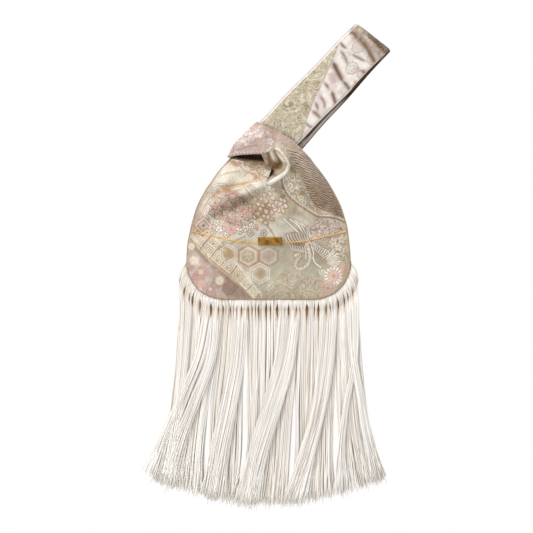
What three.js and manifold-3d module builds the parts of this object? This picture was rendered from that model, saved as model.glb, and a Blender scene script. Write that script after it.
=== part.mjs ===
// A Japanese knot bag in patchwork obi brocade: a flat teardrop pouch, a long handle drawn through a
// short one, a brass bar on a gold cord, and a deep cord fringe round the bottom.
// Millimetres, +Z up, the front faces -Y. The origin is inside the far end of the long handle.
import * as THREE from "three";
import Module from "manifold-3d";
import { mergeVertices } from "three/addons/utils/BufferGeometryUtils.js";

// Outline of the pouch: a flat bottom, a round corner and one long side arc, the same on both sides
const bottomHalfFlat = 62;
const cornerRadius = 51;
const sideRadius = 210;
const knotHeight = 215; // from the bottom seam to the middle of the knot
const halfWidth = bottomHalfFlat + cornerRadius;

// Depth of the pouch, from its middle plane
const rimHalfDepth = 8;
const bulgeDepth = 12;
const bulgeHeight = 62; // where the pouch is fullest
const bulgePower = 2.2;
const bulgeFadeShare = 0.5; // how much of the bulge is gone at the knot

// Cloth layers of the pouch walls, and the space kept between pieces
const gap = 0.3;
const brocade = 1;
const fleece = 1.2;
const liningCloth = 0.6;
const innerInset = 4.5; // fleece and lining stop this far inside the outline
const seamInset = 0.4;
const gussetThickness = 1.6;
const stiffenerThickness = 1.5;
const mouthHeight = 95; // the side seams end here, and the mouth is open above
const liningCloseRise = 16;
const liningSeamHalf = 0.8;
const pipingRadius = 1.1;

// Long handle, drawn up to the right through the knot
const handleWidth = 62;
const handleReach = 206; // from the middle of the knot to the inside of the loop's end
const handleLean = 45.6; // degrees above the horizontal
const strapCloth = 1.4;
const strapHalfGap = 2; // half the space between the two straps inside the knot
const loopHalfGap = 6;
const loopOpenLength = 46; // the straps part over this length above the neck
const backStrapSkew = 2.4; // degrees that the back strap strays from the front one
const neckStart = 39;
const neckLength = 15;
const rootDepth = 28;
const rootTaper = 4.5;
const rootPinch = 3.6;
const rootFlareStart = 12;
const rootFlareEnd = 27;
const backStrapLift = 1.4;

// Short handle, the collar of the knot: it reaches up to the left and folds round the long one
const collarWidth = 62;
const collarLean = 37.4; // degrees below the horizontal, towards the pouch
const collarCentreDrop = 16.8;
const collarCloth = 1.4;
const collarHalfDepth = 17;
const collarEndRadius = 12;
const collarTopRise = 7.4;
const collarCheekRise = 30.5;
const collarRightDepthShare = 0.72;
const collarTopDepthShare = 0.68;
const gatherStart = 2;
const knotRadius = 42.6;
const swingClearance = 1.5;
const shoulderGap = 0.8;
const shoulderWallRoom = 3;

// Rolled lip of the mouth, on the front and the back of the knot
const lipRadius = 3.2;
const lipCourseShares = [
  [-0.2, -0.31],
  [0.12, -0.1],
  [0.52, -0.31],
  [0.65, -0.63],
  [0.42, -0.97],
  [0.04, -1.2],
];

// Brass bar and the gold cord that runs under it
const barWidth = 33;
const barHeight = 11;
const barThickness = 2.8;
const barOffset = 2;
const barCentreHeight = 79.5;
const barBevel = 0.5;
const cordRadius = 0.6;
const cordLowHeight = 77.8;
const cordRise = 17;
const cordEndInset = 3;
const cordChannelHeight = 3.4;
const prongSpacing = 22;
const prongWidth = 2.4;
const prongThickness = 0.9;
const prongHoleClearance = 0.35;
const prongFoot = 3;
const washerMargin = 1.6;
const washerThickness = 0.5;

// Fringe: a header sewn into the bottom seam, and five locks that hang from it
const fringeTopHeight = 52;
const fringeLength = 286;
const fringeTipRise = 37;
const fringeHalfWidth = 126;
const fringeTipHalfWidth = 160;
const headerReach = 12;
const headerFlange = 3;
const headerHalfDepth = 9.5;
const headerTaperShare = 0.3;
const lockGap = 1.4;
const lockTopRadius = 9;
const lockTopGap = 0.6;
const curtainFront = 3.5;
const curtainBack = 11;
const bandDepth = 9;
const bandTopDrop = 12;
const curtainThinShare = 0.03; // the curtain is thin from this share of its length down

// Edges of the five locks, left to right, as shares of the fringe's half width at five even levels
const lockEdgeShares = [
  [-1, -1.03, -1.07, -1.14, -1.27],
  [-0.54, -0.57, -0.65, -0.68, -0.71],
  [-0.23, -0.25, -0.262, -0.275, -0.34],
  [0.317, 0.312, 0.283, 0.262, 0.215],
  [0.746, 0.743, 0.742, 0.743, 0.744],
  [1, 1.03, 1.07, 1.14, 1.27],
];

// Swept bundle on the front of each lock: its middle at five even levels, and its half width
const bandCourseShares = [
  [-0.63, -0.71, -0.86, -1.01, -1.13],
  [-0.31, -0.33, -0.41, -0.5, -0.56],
  [0.23, 0.19, 0.05, -0.1, -0.19],
  [0.66, 0.62, 0.55, 0.43, 0.34],
  [0.9, 0.86, 0.88, 0.97, 1.11],
];
const bandHalfShares = [0.06, 0.075, 0.09, 0.1, 0.11];

// Fineness of the faceted cloth
const panelColumns = 12;
const panelRows = 10;
const rowSpread = 1.8; // rows lie closer together at the round bottom corners
const sideSteps = 7;
const cornerSteps = 8;
const flatSteps = 2;
const collarColumns = 8;
const collarRows = 4;
const gatherColumns = 5;
const shoulderColumns = 7;
const shoulderRows = 4;
const strapRows = 9;
const strapEndSteps = 4;
const strapColumns = 2;
const lockColumns = 5;
const lockLevels = 8;
const lockTopLevels = 3;
const bandSides = 8;
const cordSides = 6;
const cordSteps = 28;
const lipSteps = 16;
const solverSteps = 40;
const edgeSlack = 1e-6;

const colours = {
  brocade: 0xcdc3a6,
  collar: 0xd3b3b0,
  strap: 0xc2b894,
  lining: 0x8d7a62,
  fleece: 0xe8e4da,
  piping: 0x9a7a4a,
  brass: 0x9c6a24,
  gold: 0xd29a3c,
  fringe: 0xf1ece4,
};

const { degToRad, lerp, smoothstep, clamp } = THREE.MathUtils;
const leanRadians = degToRad(handleLean);
const knot = new THREE.Vector2(0, knotHeight);

// A closed body from points and triangles, turned to face outwards
function closedBody(points, faces) {
  let sixVolumes = 0;
  for (const [a, b, c] of faces) {
    sixVolumes += points[a].dot(new THREE.Vector3().crossVectors(points[b], points[c]));
  }
  const ordered = sixVolumes < 0 ? faces.map(([a, b, c]) => [a, c, b]) : faces;
  const geometry = new THREE.BufferGeometry().setFromPoints(points);
  geometry.setIndex(ordered.flat());
  geometry.computeVertexNormals();
  return geometry;
}

// A skin of cloth between two grids of points, with its four edges closed. Each quad is split along
// a diagonal that leans to the middle of the grid, so both halves of the cloth are alike
function clothSkin(columns, rows, outerPoint, innerPoint) {
  const points = [];
  const faces = [];
  const quad = (a, b, c, d) => faces.push([a, b, c], [a, c, d]);
  for (const pointAt of [outerPoint, innerPoint]) {
    for (let row = 0; row <= rows; row++) {
      for (let column = 0; column <= columns; column++) {
        points.push(pointAt(column / columns, row / rows));
      }
    }
  }
  const across = columns + 1;
  const inner = across * (rows + 1);
  const at = (column, row) => row * across + column;
  for (let row = 0; row < rows; row++) {
    for (let column = 0; column < columns; column++) {
      const corners = [at(column, row), at(column + 1, row), at(column + 1, row + 1), at(column, row + 1)];
      const [a, b, c, d] = column < columns / 2 ? [...corners.slice(1), corners[0]] : corners;
      quad(a, b, c, d);
      quad(a + inner, d + inner, c + inner, b + inner);
    }
  }
  for (let column = 0; column < columns; column++) {
    const [low, lowNext] = [at(column, 0), at(column + 1, 0)];
    const [high, highNext] = [at(column, rows), at(column + 1, rows)];
    quad(lowNext, low, low + inner, lowNext + inner);
    quad(high, highNext, highNext + inner, high + inner);
  }
  for (let row = 0; row < rows; row++) {
    const [left, leftNext] = [at(0, row), at(0, row + 1)];
    const [right, rightNext] = [at(columns, row), at(columns, row + 1)];
    quad(left, leftNext, leftNext + inner, left + inner);
    quad(rightNext, right, right + inner, rightNext + inner);
  }
  return closedBody(points, faces);
}

// A closed skin through equal rings of points, with a fan of faces on each end
function loft(rings) {
  const count = rings[0].length;
  const points = rings.flat();
  const faces = [];
  for (let ring = 0; ring < rings.length - 1; ring++) {
    for (let corner = 0; corner < count; corner++) {
      const next = (corner + 1) % count;
      const [a, b] = [ring * count + corner, ring * count + next];
      faces.push([a, b, b + count], [a, b + count, a + count]);
    }
  }
  for (const ring of [0, rings.length - 1]) {
    const middle = points.length;
    const centre = new THREE.Vector3();
    rings[ring].forEach((point) => centre.addScaledVector(point, 1 / count));
    points.push(centre);
    for (let corner = 0; corner < count; corner++) {
      const a = ring * count + corner;
      const b = ring * count + ((corner + 1) % count);
      faces.push(ring === 0 ? [b, a, middle] : [a, b, middle]);
    }
  }
  return closedBody(points, faces);
}

// The value of a row of even levels at a share of its length, on a smooth curve
function levelAt(levels, share) {
  const places = levels.map((level, index) => new THREE.Vector2(index / (levels.length - 1), level));
  return new THREE.SplineCurve(places).getPoint(clamp(share, 0, 1)).y;
}

// Half the pouch's width at a height above the bottom seam, inside the outline by an inset
function outlineHalfWidth(height, inset = 0) {
  if (height < cornerRadius) {
    const reach = cornerRadius - inset;
    return bottomHalfFlat + Math.sqrt(Math.max(0, reach ** 2 - (cornerRadius - height) ** 2));
  }
  const reach = sideRadius - inset;
  const along = Math.sqrt(Math.max(0, reach ** 2 - (height - cornerRadius) ** 2));
  return halfWidth - sideRadius + along;
}

// Share of the full bulge at a height
function bulgeRise(height) {
  if (height < bulgeHeight) {
    return 1 - (1 - height / bulgeHeight) ** 2;
  }
  return 1 - bulgeFadeShare * ((height - bulgeHeight) / (knotHeight - bulgeHeight)) ** 2;
}

// Half the pouch's outer depth at a place on its face
function pouchHalfDepth(x, height) {
  const share = clamp(Math.abs(x) / outlineHalfWidth(height), 0, 1);
  return rimHalfDepth + bulgeDepth * (1 - share ** bulgePower) * bulgeRise(height);
}

const collarEndReach = handleWidth / 2 + collarCloth;
const collarLow = -collarCentreDrop - collarWidth / 2;
const collarHigh = collarWidth / 2 - collarCentreDrop;
const archRadius = Math.hypot(collarEndReach, collarLow) + swingClearance;

// Height at which a column of the panel meets the arch round the knot
function archHeight(share, inset) {
  let low = 0;
  let high = knotHeight;
  for (let step = 0; step < solverSteps; step++) {
    const middle = (low + high) / 2;
    const away = Math.hypot(share * outlineHalfWidth(middle, inset), knotHeight - middle);
    if (away > archRadius) {
      low = middle;
    } else {
      high = middle;
    }
  }
  return low;
}

// One wall layer of the pouch: side is -1 on the front and 1 on the back
function panelLayer(side, inset, thickness, depthAt) {
  const pointAt = (layer) => (across, up) => {
    const share = lerp(-1, 1, across);
    const height = lerp(inset, archHeight(share, inset), up ** rowSpread);
    const x = share * outlineHalfWidth(height, inset);
    return new THREE.Vector3(x, side * (depthAt(x, height, share) - layer), height);
  };
  return clothSkin(panelColumns, panelRows, pointAt(0), pointAt(thickness));
}

// The outer wall's own facets, seen flat, each with the depths of its corners
function wallFacets() {
  const corner = (column, row) => {
    const share = lerp(-1, 1, column / panelColumns);
    const height = lerp(0, archHeight(share, 0), (row / panelRows) ** rowSpread);
    const x = share * outlineHalfWidth(height);
    return { flat: new THREE.Vector3(x, height, 0), depth: pouchHalfDepth(x, height) };
  };
  const facets = [];
  const facet = (...corners) => {
    const flat = new THREE.Triangle(...corners.map((place) => place.flat));
    const depths = new THREE.Vector3(...corners.map((place) => place.depth));
    facets.push({ flat, depths });
  };
  for (let row = 0; row < panelRows; row++) {
    for (let column = 0; column < panelColumns; column++) {
      const low = [corner(column, row), corner(column + 1, row)];
      const high = [corner(column + 1, row + 1), corner(column, row + 1)];
      const corners = [...low, ...high];
      const [a, b, c, d] = column < panelColumns / 2 ? [...corners.slice(1), corners[0]] : corners;
      facet(a, b, c);
      facet(a, c, d);
    }
  }
  return facets;
}

const facets = wallFacets();

// Depth of the faceted wall at a place, so that what lies on it follows its facets
function wallDepth(x, height) {
  const place = new THREE.Vector3(x, height, 0);
  const weights = new THREE.Vector3();
  for (const { flat, depths } of facets) {
    flat.getBarycoord(place, weights);
    if (Math.min(...weights.toArray()) > -edgeSlack) {
      return weights.dot(depths);
    }
  }
  return pouchHalfDepth(x, height);
}

const fleeceStart = brocade + gap;
const liningStart = fleeceStart + washerThickness + prongThickness + 2 * gap;

// The lining closes to a seam at its sides and bottom, and opens above the mouth
function liningDepth(x, height, share) {
  const edge = Math.abs(share) ** bulgePower;
  const opened = smoothstep(height, mouthHeight - liningCloseRise, mouthHeight + liningCloseRise);
  const rim = lerp(liningSeamHalf, rimHalfDepth - liningStart, opened);
  const full = rimHalfDepth - liningStart + bulgeDepth * bulgeRise(height);
  const closed = smoothstep(height, innerInset, innerInset + liningCloseRise);
  return lerp(liningSeamHalf, lerp(full, rim, edge), closed);
}

// Stations along the rim, from the left top round the bottom to the right top
function rimStations(topHeight) {
  const rightHalf = [];
  const sideTurn = Math.asin(clamp((topHeight - cornerRadius) / sideRadius, 0, 1));
  for (let step = 0; step < sideSteps; step++) {
    const turn = sideTurn * (1 - step / sideSteps);
    const normal = new THREE.Vector2(Math.cos(turn), Math.sin(turn));
    const centre = new THREE.Vector2(halfWidth - sideRadius, cornerRadius);
    rightHalf.push({ place: centre.addScaledVector(normal, sideRadius), normal });
  }
  for (let step = 0; step < cornerSteps; step++) {
    const turn = (-Math.PI / 2) * (step / cornerSteps);
    const normal = new THREE.Vector2(Math.cos(turn), Math.sin(turn));
    const centre = new THREE.Vector2(bottomHalfFlat, cornerRadius);
    rightHalf.push({ place: centre.addScaledVector(normal, cornerRadius), normal });
  }
  for (let step = 0; step <= flatSteps; step++) {
    const place = new THREE.Vector2(bottomHalfFlat * (1 - step / flatSteps), 0);
    rightHalf.push({ place, normal: new THREE.Vector2(0, -1) });
  }
  const leftHalf = rightHalf.slice(0, -1).map(({ place, normal }) => ({
    place: new THREE.Vector2(-place.x, place.y),
    normal: new THREE.Vector2(-normal.x, normal.y),
  }));
  return [...leftHalf, ...rightHalf.reverse()];
}

// A section of [outward offset, depth] pairs carried along the rim
function sweepRim(stations, sectionAt) {
  return loft(
    stations.map(({ place, normal }, index) =>
      sectionAt(index / (stations.length - 1)).map(
        ([offset, y]) =>
          new THREE.Vector3(place.x + normal.x * offset, y, place.y + normal.y * offset),
      ),
    ),
  );
}

function roundSection(radius, sides, offset, y) {
  return Array.from({ length: sides }, (_, index) => {
    const turn = (2 * Math.PI * index) / sides;
    return [offset + radius * Math.cos(turn), y + radius * Math.sin(turn)];
  });
}

function gusset() {
  const half = rimHalfDepth - brocade - gap;
  const outer = -seamInset;
  const inner = outer - gussetThickness;
  const section = [[inner, -half], [outer, -half], [outer, half], [inner, half]];
  return sweepRim(rimStations(mouthHeight), () => section);
}

function piping(side) {
  const middle = side * (rimHalfDepth - brocade / 2);
  const section = roundSection(pipingRadius, cordSides, pipingRadius + gap, middle);
  return sweepRim(rimStations(archHeight(1, 0)), () => section);
}

function baseStiffener() {
  const low = seamInset + gussetThickness + gap;
  const depth = 2 * (rimHalfDepth - brocade - 2 * gap);
  const board = new THREE.BoxGeometry(2 * bottomHalfFlat, depth, stiffenerThickness);
  board.translate(0, 0, low + stiffenerThickness / 2);
  return board;
}

// Shoulders: the cloth that gathers from the pouch into the knot, on rings round the knot
function shoulder(side, innerRadius, turnAt, depthAt) {
  const outerRadius = archRadius - shoulderGap;
  const pointAt = (layer) => (along, out) => {
    const radius = lerp(innerRadius, outerRadius, out);
    const turn = turnAt(along, radius);
    const x = radius * Math.cos(turn);
    const height = knotHeight + radius * Math.sin(turn);
    return new THREE.Vector3(x, side * (depthAt(x, height, radius) - layer), height);
  };
  return clothSkin(shoulderColumns, shoulderRows, pointAt(0), pointAt(brocade));
}

const leftShoulderStart = 16; // how near the long handle's foot comes to the middle of the knot
const mouthTurn = degToRad(-96);
const mouthSlit = degToRad(1);
const strapOuter = strapHalfGap + strapCloth + liningCloth;

// The left shoulder is the foot of the long handle: it dives under the collar to the strap
function leftShoulder(side) {
  const innerRadius = leftShoulderStart;
  const wallNormal = degToRad(180 - collarLean);
  const wallAway = collarEndReach - collarCloth - liningCloth - brocade - shoulderWallRoom;
  const turnAt = (along, radius) => {
    const wall = wallNormal + Math.acos(clamp(wallAway / radius, -1, 1));
    return lerp(wall, mouthTurn + 2 * Math.PI - mouthSlit, along);
  };
  const depthAt = (x, height, radius) => {
    const dive = smoothstep(radius, knotRadius * 0.62, archRadius);
    return lerp(strapOuter + gap + brocade, pouchHalfDepth(x, height), dive);
  };
  return shoulder(side, innerRadius, turnAt, depthAt);
}

// Depth of the collar's outer face, from its closed end to the pouch and from its low edge to its top
function collarDepth(alongShare, upShare) {
  const narrowing = smoothstep(alongShare, 0.5, 1);
  const end = lerp(1, lerp(collarRightDepthShare, collarTopDepthShare, upShare), narrowing);
  const top = lerp(1, collarTopDepthShare, smoothstep(alongShare, 0.75, 1) * upShare ** 2);
  return collarHalfDepth * end * top;
}

// The right shoulder is the foot of the short handle: it runs on into the collar
function rightShoulder(side) {
  const turnAt = (along, radius) => {
    const edgeHeight = archHeightAt(radius);
    const edge = Math.asin(clamp((edgeHeight - knotHeight) / radius, -1, 1));
    return lerp(mouthTurn + mouthSlit, edge, along);
  };
  const depthAt = (x, height, radius) => {
    const collarShare = clamp((height - knotHeight + knotRadius) / knotRadius, 0, 1);
    const outward = smoothstep(radius, knotRadius, archRadius);
    return lerp(collarDepth(1, collarShare), pouchHalfDepth(x, height), outward);
  };
  return shoulder(side, knotRadius + gap, turnAt, depthAt);
}

// Height at which the outline lies at a distance from the knot
function archHeightAt(radius) {
  let low = cornerRadius;
  let high = knotHeight + radius;
  for (let step = 0; step < solverSteps; step++) {
    const middle = (low + high) / 2;
    const away = Math.hypot(outlineHalfWidth(middle), knotHeight - middle);
    if (away > radius && middle < knotHeight) {
      low = middle;
    } else {
      high = middle;
    }
  }
  return low;
}

// Gathered cloth of the knot, between the loop's lower edge and the round border of the knot
function knotGather(side) {
  const level = collarLow + collarCheekRise - gap;
  const startTurn = mouthTurn + degToRad(collarLean);
  const endTurn = Math.asin(level / knotRadius);
  const chordEnd = knotRadius * Math.cos(endTurn);
  const pointAt = (layer) => (along, out) => {
    const turn = lerp(startTurn, endTurn, along);
    const a = lerp(lerp(gatherStart, chordEnd, along), knotRadius * Math.cos(turn), out);
    const b = lerp(level, knotRadius * Math.sin(turn), out);
    const rise = b * Math.cos(degToRad(collarLean)) - a * Math.sin(degToRad(collarLean));
    const chordDepth = collarDepth(clamp(a / chordEnd, 0, 1), 0);
    const arcDepth = collarDepth(1, clamp(1 + rise / knotRadius, 0, 1));
    return new THREE.Vector3(a, side * (lerp(chordDepth, arcDepth, out) - layer), b);
  };
  return clothSkin(gatherColumns, shoulderRows, pointAt(0), pointAt(collarCloth));
}

// One half of the short handle's loop: a band that is closed by a rounded fold at its far end
function collarLayer(side, start, thickness) {
  const pointAt = (layer) => (along, up) => {
    const endRise = lerp(collarLow + collarCheekRise, collarHigh + collarTopRise, up);
    const farReach = Math.sqrt(knotRadius ** 2 - endRise ** 2);
    const a = lerp(layer - collarEndReach, farReach, along);
    const cheek = collarLow + collarCheekRise * smoothstep(along, 0, 0.46);
    const b = lerp(cheek, collarHigh + collarTopRise * along, up);
    const round = clamp((a + collarEndReach - layer) / (collarEndRadius - layer), 0, 1);
    const depth = (collarDepth(along, up) - layer) * Math.sqrt(1 - (1 - round) ** 2);
    return new THREE.Vector3(a, side * Math.max(gap / 2, depth), b);
  };
  const stretch = (pointOf) => (along, up) => pointOf(along ** 1.6, up);
  return clothSkin(collarColumns, collarRows, stretch(pointAt(start)), stretch(pointAt(start + thickness)));
}

// Lip: the rolled edge of the mouth, which turns out of the collar and down into the pouch
function mouthLip(side) {
  const places = lipCourseShares.map(([x, rise]) => {
    const height = knotHeight + rise * knotRadius;
    const across = x * knotRadius;
    const collarFace = collarHalfDepth;
    const away = Math.hypot(across, height - knotHeight) / knotRadius;
    const face = Math.max(lerp(collarFace, pouchHalfDepth(across, height), smoothstep(away, 0.6, 1.2)), 0);
    return new THREE.Vector3(across, side * (face + lipRadius + gap), height);
  });
  const course = new THREE.CatmullRomCurve3(places);
  const rings = course.getSpacedPoints(lipSteps).map((point, index) => {
    const tangent = course.getTangentAt(index / lipSteps);
    const across = new THREE.Vector3(tangent.z, 0, -tangent.x).normalize();
    const out = new THREE.Vector3().crossVectors(across, tangent).normalize();
    return roundSection(lipRadius, cordSides, 0, 0).map(([u, v]) =>
      point.clone().addScaledVector(across, u).addScaledVector(out, v),
    );
  });
  return loft(rings);
}

// Course of one strap of the long handle, seen on edge: [distance from the knot, depth] and the
// direction that faces out of the loop
function strapCourse(share, lift) {
  const start = neckStart + neckLength + gap + lift;
  const turnStart = handleReach + liningCloth - loopHalfGap;
  const straightShare = strapRows / (strapRows + strapEndSteps);
  if (share <= straightShare) {
    const along = lerp(start, turnStart, share / straightShare);
    const opened = smoothstep(along, start, start + loopOpenLength);
    const depth = lerp(strapHalfGap + liningCloth, loopHalfGap, opened);
    return { along, depth, outAlong: 0, outDepth: 1 };
  }
  const turn = ((share - straightShare) / (1 - straightShare)) * (Math.PI / 2);
  return {
    along: turnStart + loopHalfGap * Math.sin(turn),
    depth: loopHalfGap * Math.cos(turn),
    outAlong: Math.sin(turn),
    outDepth: Math.cos(turn),
  };
}

// A layer of a strap, from one offset out of the loop to another
function strapLayer(side, from, to) {
  const pointAt = (offset) => (across, up) => {
    const { along, depth, outAlong, outDepth } = strapCourse(up, side > 0 ? backStrapLift : 0);
    const y = Math.max(gap / 2, depth + outDepth * offset);
    const half = handleWidth / 2;
    return new THREE.Vector3(lerp(-half, half, across), side * y, along + outAlong * offset);
  };
  return clothSkin(strapColumns, strapRows + strapEndSteps, pointAt(to), pointAt(from));
}

// A flat length of one strap below the loop, narrowed inside the knot that grips it
function strapLength(side, from, to) {
  const pointAt = (depth) => (across, up) => {
    const along = lerp(from, to, up);
    const pinch = rootPinch * (1 - smoothstep(along, rootFlareStart, rootFlareEnd));
    const taper = rootTaper * (1 - smoothstep(along, -rootDepth, 0));
    const half = handleWidth / 2 - pinch - taper;
    return new THREE.Vector3(lerp(-half, half, across), side * depth, along);
  };
  return clothSkin(strapColumns, strapRows, pointAt(strapOuter), pointAt(strapHalfGap));
}

// Gold cord: a shallow hanging curve over the front, from rim to rim
function goldCordHeight(x) {
  return cordLowHeight + cordRise * (x / halfWidth) ** 2;
}

function goldCord() {
  const end = outlineHalfWidth(cordLowHeight + cordRise) - cordEndInset;
  const rings = [];
  for (let step = 0; step <= cordSteps; step++) {
    const x = lerp(-end, end, step / cordSteps);
    const height = goldCordHeight(x);
    const y = -(wallDepth(x, height) + cordRadius + gap);
    const ring = roundSection(cordRadius, cordSides, 0, 0);
    rings.push(ring.map(([u, v]) => new THREE.Vector3(x, y + u, height + v)));
  }
  return loft(rings);
}

const wasm = await Module();
wasm.setup();

// A solid for the cutting tools, and back again
function toSolid(geometry) {
  const bare = geometry.clone();
  bare.deleteAttribute("normal");
  bare.deleteAttribute("uv");
  const merged = mergeVertices(bare);
  return new wasm.Manifold(
    new wasm.Mesh({
      numProp: 3,
      vertProperties: new Float32Array(merged.attributes.position.array),
      triVerts: new Uint32Array(merged.index.array),
    }),
  );
}

function toGeometry(solid) {
  const mesh = solid.getMesh();
  const geometry = new THREE.BufferGeometry();
  const stride = mesh.numProp;
  const positions = new Float32Array(mesh.numVert * 3);
  for (let index = 0; index < mesh.numVert; index++) {
    positions.set(mesh.vertProperties.subarray(index * stride, index * stride + 3), index * 3);
  }
  geometry.setAttribute("position", new THREE.BufferAttribute(positions, 3));
  geometry.setIndex(new THREE.BufferAttribute(mesh.triVerts, 1));
  geometry.computeVertexNormals();
  return geometry;
}

function placedBox(width, depth, height, x, y, z) {
  return new THREE.BoxGeometry(width, depth, height).translate(x, y, z);
}

const barFace = wallDepth(0, barCentreHeight); // the cloth's outer face behind the bar
const barBack = barFace + gap;
const washerFace = barFace - fleeceStart;

// Bar: bevelled brass with a channel for the cord, and two prongs bent over the washer inside
function nameBar() {
  const outline = new THREE.Shape();
  const [halfLong, halfTall] = [barWidth / 2 - barBevel, barHeight / 2 - barBevel];
  outline.moveTo(-halfLong, -halfTall);
  outline.lineTo(halfLong, -halfTall);
  outline.lineTo(halfLong, halfTall);
  outline.lineTo(-halfLong, halfTall);
  outline.closePath();
  const plate = new THREE.ExtrudeGeometry(outline, {
    depth: barThickness - 2 * barBevel,
    bevelThickness: barBevel,
    bevelSize: barBevel,
    bevelSegments: 1,
  });
  plate.rotateX(Math.PI / 2);
  plate.translate(0, -barBack - barBevel, barCentreHeight);
  const channelDepth = 2 * cordRadius + 2 * gap;
  const channel = placedBox(
    2 * barWidth,
    2 * channelDepth,
    cordChannelHeight,
    0,
    -barBack,
    goldCordHeight(0),
  );
  let solid = toSolid(plate).subtract(toSolid(channel));
  const prongEnd = washerFace - washerThickness - gap;
  const root = barBack + barBevel;
  for (const place of [-prongSpacing / 2, prongSpacing / 2]) {
    const legDepth = root - prongEnd + prongThickness;
    const legMiddle = -(root - legDepth / 2);
    const height = barCentreHeight + cordChannelHeight;
    const leg = placedBox(prongThickness, legDepth, prongWidth, place, legMiddle, height);
    const footDepth = -(prongEnd - prongThickness / 2);
    const footMiddle = place - Math.sign(place) * (prongFoot / 2);
    const foot = placedBox(prongFoot, prongThickness, prongWidth, footMiddle, footDepth, height);
    solid = solid.add(toSolid(leg)).add(toSolid(foot));
  }
  return toGeometry(solid);
}

// Holes for the two prongs, through anything that they pass
function prongHoles(geometry) {
  let solid = toSolid(geometry);
  for (const place of [-prongSpacing / 2, prongSpacing / 2]) {
    const hole = placedBox(
      prongThickness + 2 * prongHoleClearance,
      2 * barFace,
      prongWidth + 2 * prongHoleClearance,
      barOffset + place,
      -barFace,
      barCentreHeight + cordChannelHeight,
    );
    solid = solid.subtract(toSolid(hole));
  }
  return toGeometry(solid);
}

// Washer: a strip behind the outer cloth, in a window of the fleece
const washerWidth = prongSpacing + 2 * washerMargin + prongThickness;
const washerHeight = prongWidth + 2 * washerMargin;
const washerLevel = barCentreHeight + cordChannelHeight;

function barWasher() {
  const middle = -(washerFace - washerThickness / 2);
  const strip = placedBox(washerWidth, washerThickness, washerHeight, barOffset, middle, washerLevel);
  return prongHoles(strip);
}

function washerWindow(geometry) {
  const width = washerWidth + 2 * gap;
  const height = washerHeight + 2 * gap;
  const window = placedBox(width, 2 * barFace, height, barOffset, -barFace, washerLevel);
  return toGeometry(toSolid(geometry).subtract(toSolid(window)));
}

// Fringe header: a flange sewn between the pipings, and the plump row of cord loops outside it
const headerInner = 2 * pipingRadius + 2 * gap + seamInset;
const headerOuter = headerInner + headerReach - headerFlange;

function fringeHeader() {
  const flangeHalf = rimHalfDepth - brocade / 2 - pipingRadius - 2 * gap;
  const sectionAt = (share) => {
    const fromEnd = Math.min(share, 1 - share);
    const full = smoothstep(fromEnd, -headerTaperShare / 3, headerTaperShare);
    const reach = (portion) => headerInner + (headerOuter - headerInner) * portion * full;
    const depth = (portion) => lerp(flangeHalf, headerHalfDepth, full) * portion;
    const rightHalf = [
      [gap, flangeHalf],
      [headerInner, flangeHalf],
      [reach(0.02), depth(0.9)],
      [reach(0.3), depth(1)],
      [reach(0.7), depth(0.95)],
      [reach(0.95), depth(0.6)],
    ];
    const leftHalf = rightHalf.map(([offset, y]) => [offset, -y]).reverse();
    return [...rightHalf, [reach(1), 0], ...leftHalf];
  };
  return sweepRim(rimStations(fringeTopHeight), sectionAt);
}

const hingeDrop = headerOuter + lockTopGap + lockTopRadius;
const evenShares = Array.from({ length: lockLevels + 1 }, (_, level) => level / lockLevels);

// Side skirts: the cords that hang from the round corners, down to where the locks begin
function fringeSkirt(side) {
  const floor = -headerOuter;
  const start = bottomHalfFlat + cornerRadius * 0.42;
  const reach = cornerRadius + headerOuter + gap;
  const steps = lockLevels;
  const rings = [];
  for (let step = 0; step <= steps; step++) {
    const x = lerp(start, fringeHalfWidth - lockGap, step / steps);
    const under = cornerRadius - Math.sqrt(Math.max(0, reach ** 2 - (x - bottomHalfFlat) ** 2));
    const top = Math.max(under - gap, floor + gap);
    const half = headerHalfDepth * lerp(0.95, 0.75, step / steps);
    const ring = [[-half, floor], [half, floor], [half, top], [-half, top]];
    rings.push(ring.map(([y, height]) => new THREE.Vector3(side * x, y, height)));
  }
  return loft(rings);
}

// Height of the trimmed tips across the fringe
function tipHeight(x) {
  return -fringeLength + fringeTipRise * (x / fringeTipHalfWidth) ** 2;
}

// The straight back curtain of one lock: a round top on its hinge line, then a falling slab
function lockCurtain(index) {
  const levels = [];
  for (let step = 0; step < lockTopLevels; step++) {
    const turn = lerp(Math.PI * 0.46, 0, step / lockTopLevels);
    const half = lockTopRadius * Math.cos(turn);
    levels.push({ share: 0, rise: lockTopRadius * Math.sin(turn), front: half, back: half });
  }
  for (const share of [0, curtainThinShare, ...evenShares.slice(1)]) {
    const front = share === 0 ? lockTopRadius : curtainFront;
    levels.push({ share, rise: 0, front, back: lerp(lockTopRadius, curtainBack, share) });
  }
  const rings = levels.map(({ share, rise, front, back }) => {
    const left = levelAt(lockEdgeShares[index], share) * fringeHalfWidth + lockGap / 2;
    const right = levelAt(lockEdgeShares[index + 1], share) * fringeHalfWidth - lockGap / 2;
    const pointAt = (across, y) => {
      const x = lerp(left, right, across);
      return new THREE.Vector3(x, y, lerp(-hingeDrop, tipHeight(x), share) + rise);
    };
    const ring = [];
    for (let column = 0; column <= lockColumns; column++) {
      ring.push(pointAt(column / lockColumns, -front));
    }
    for (let column = lockColumns; column >= 0; column--) {
      ring.push(pointAt(column / lockColumns, back));
    }
    return ring;
  });
  return loft(rings);
}

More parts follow.
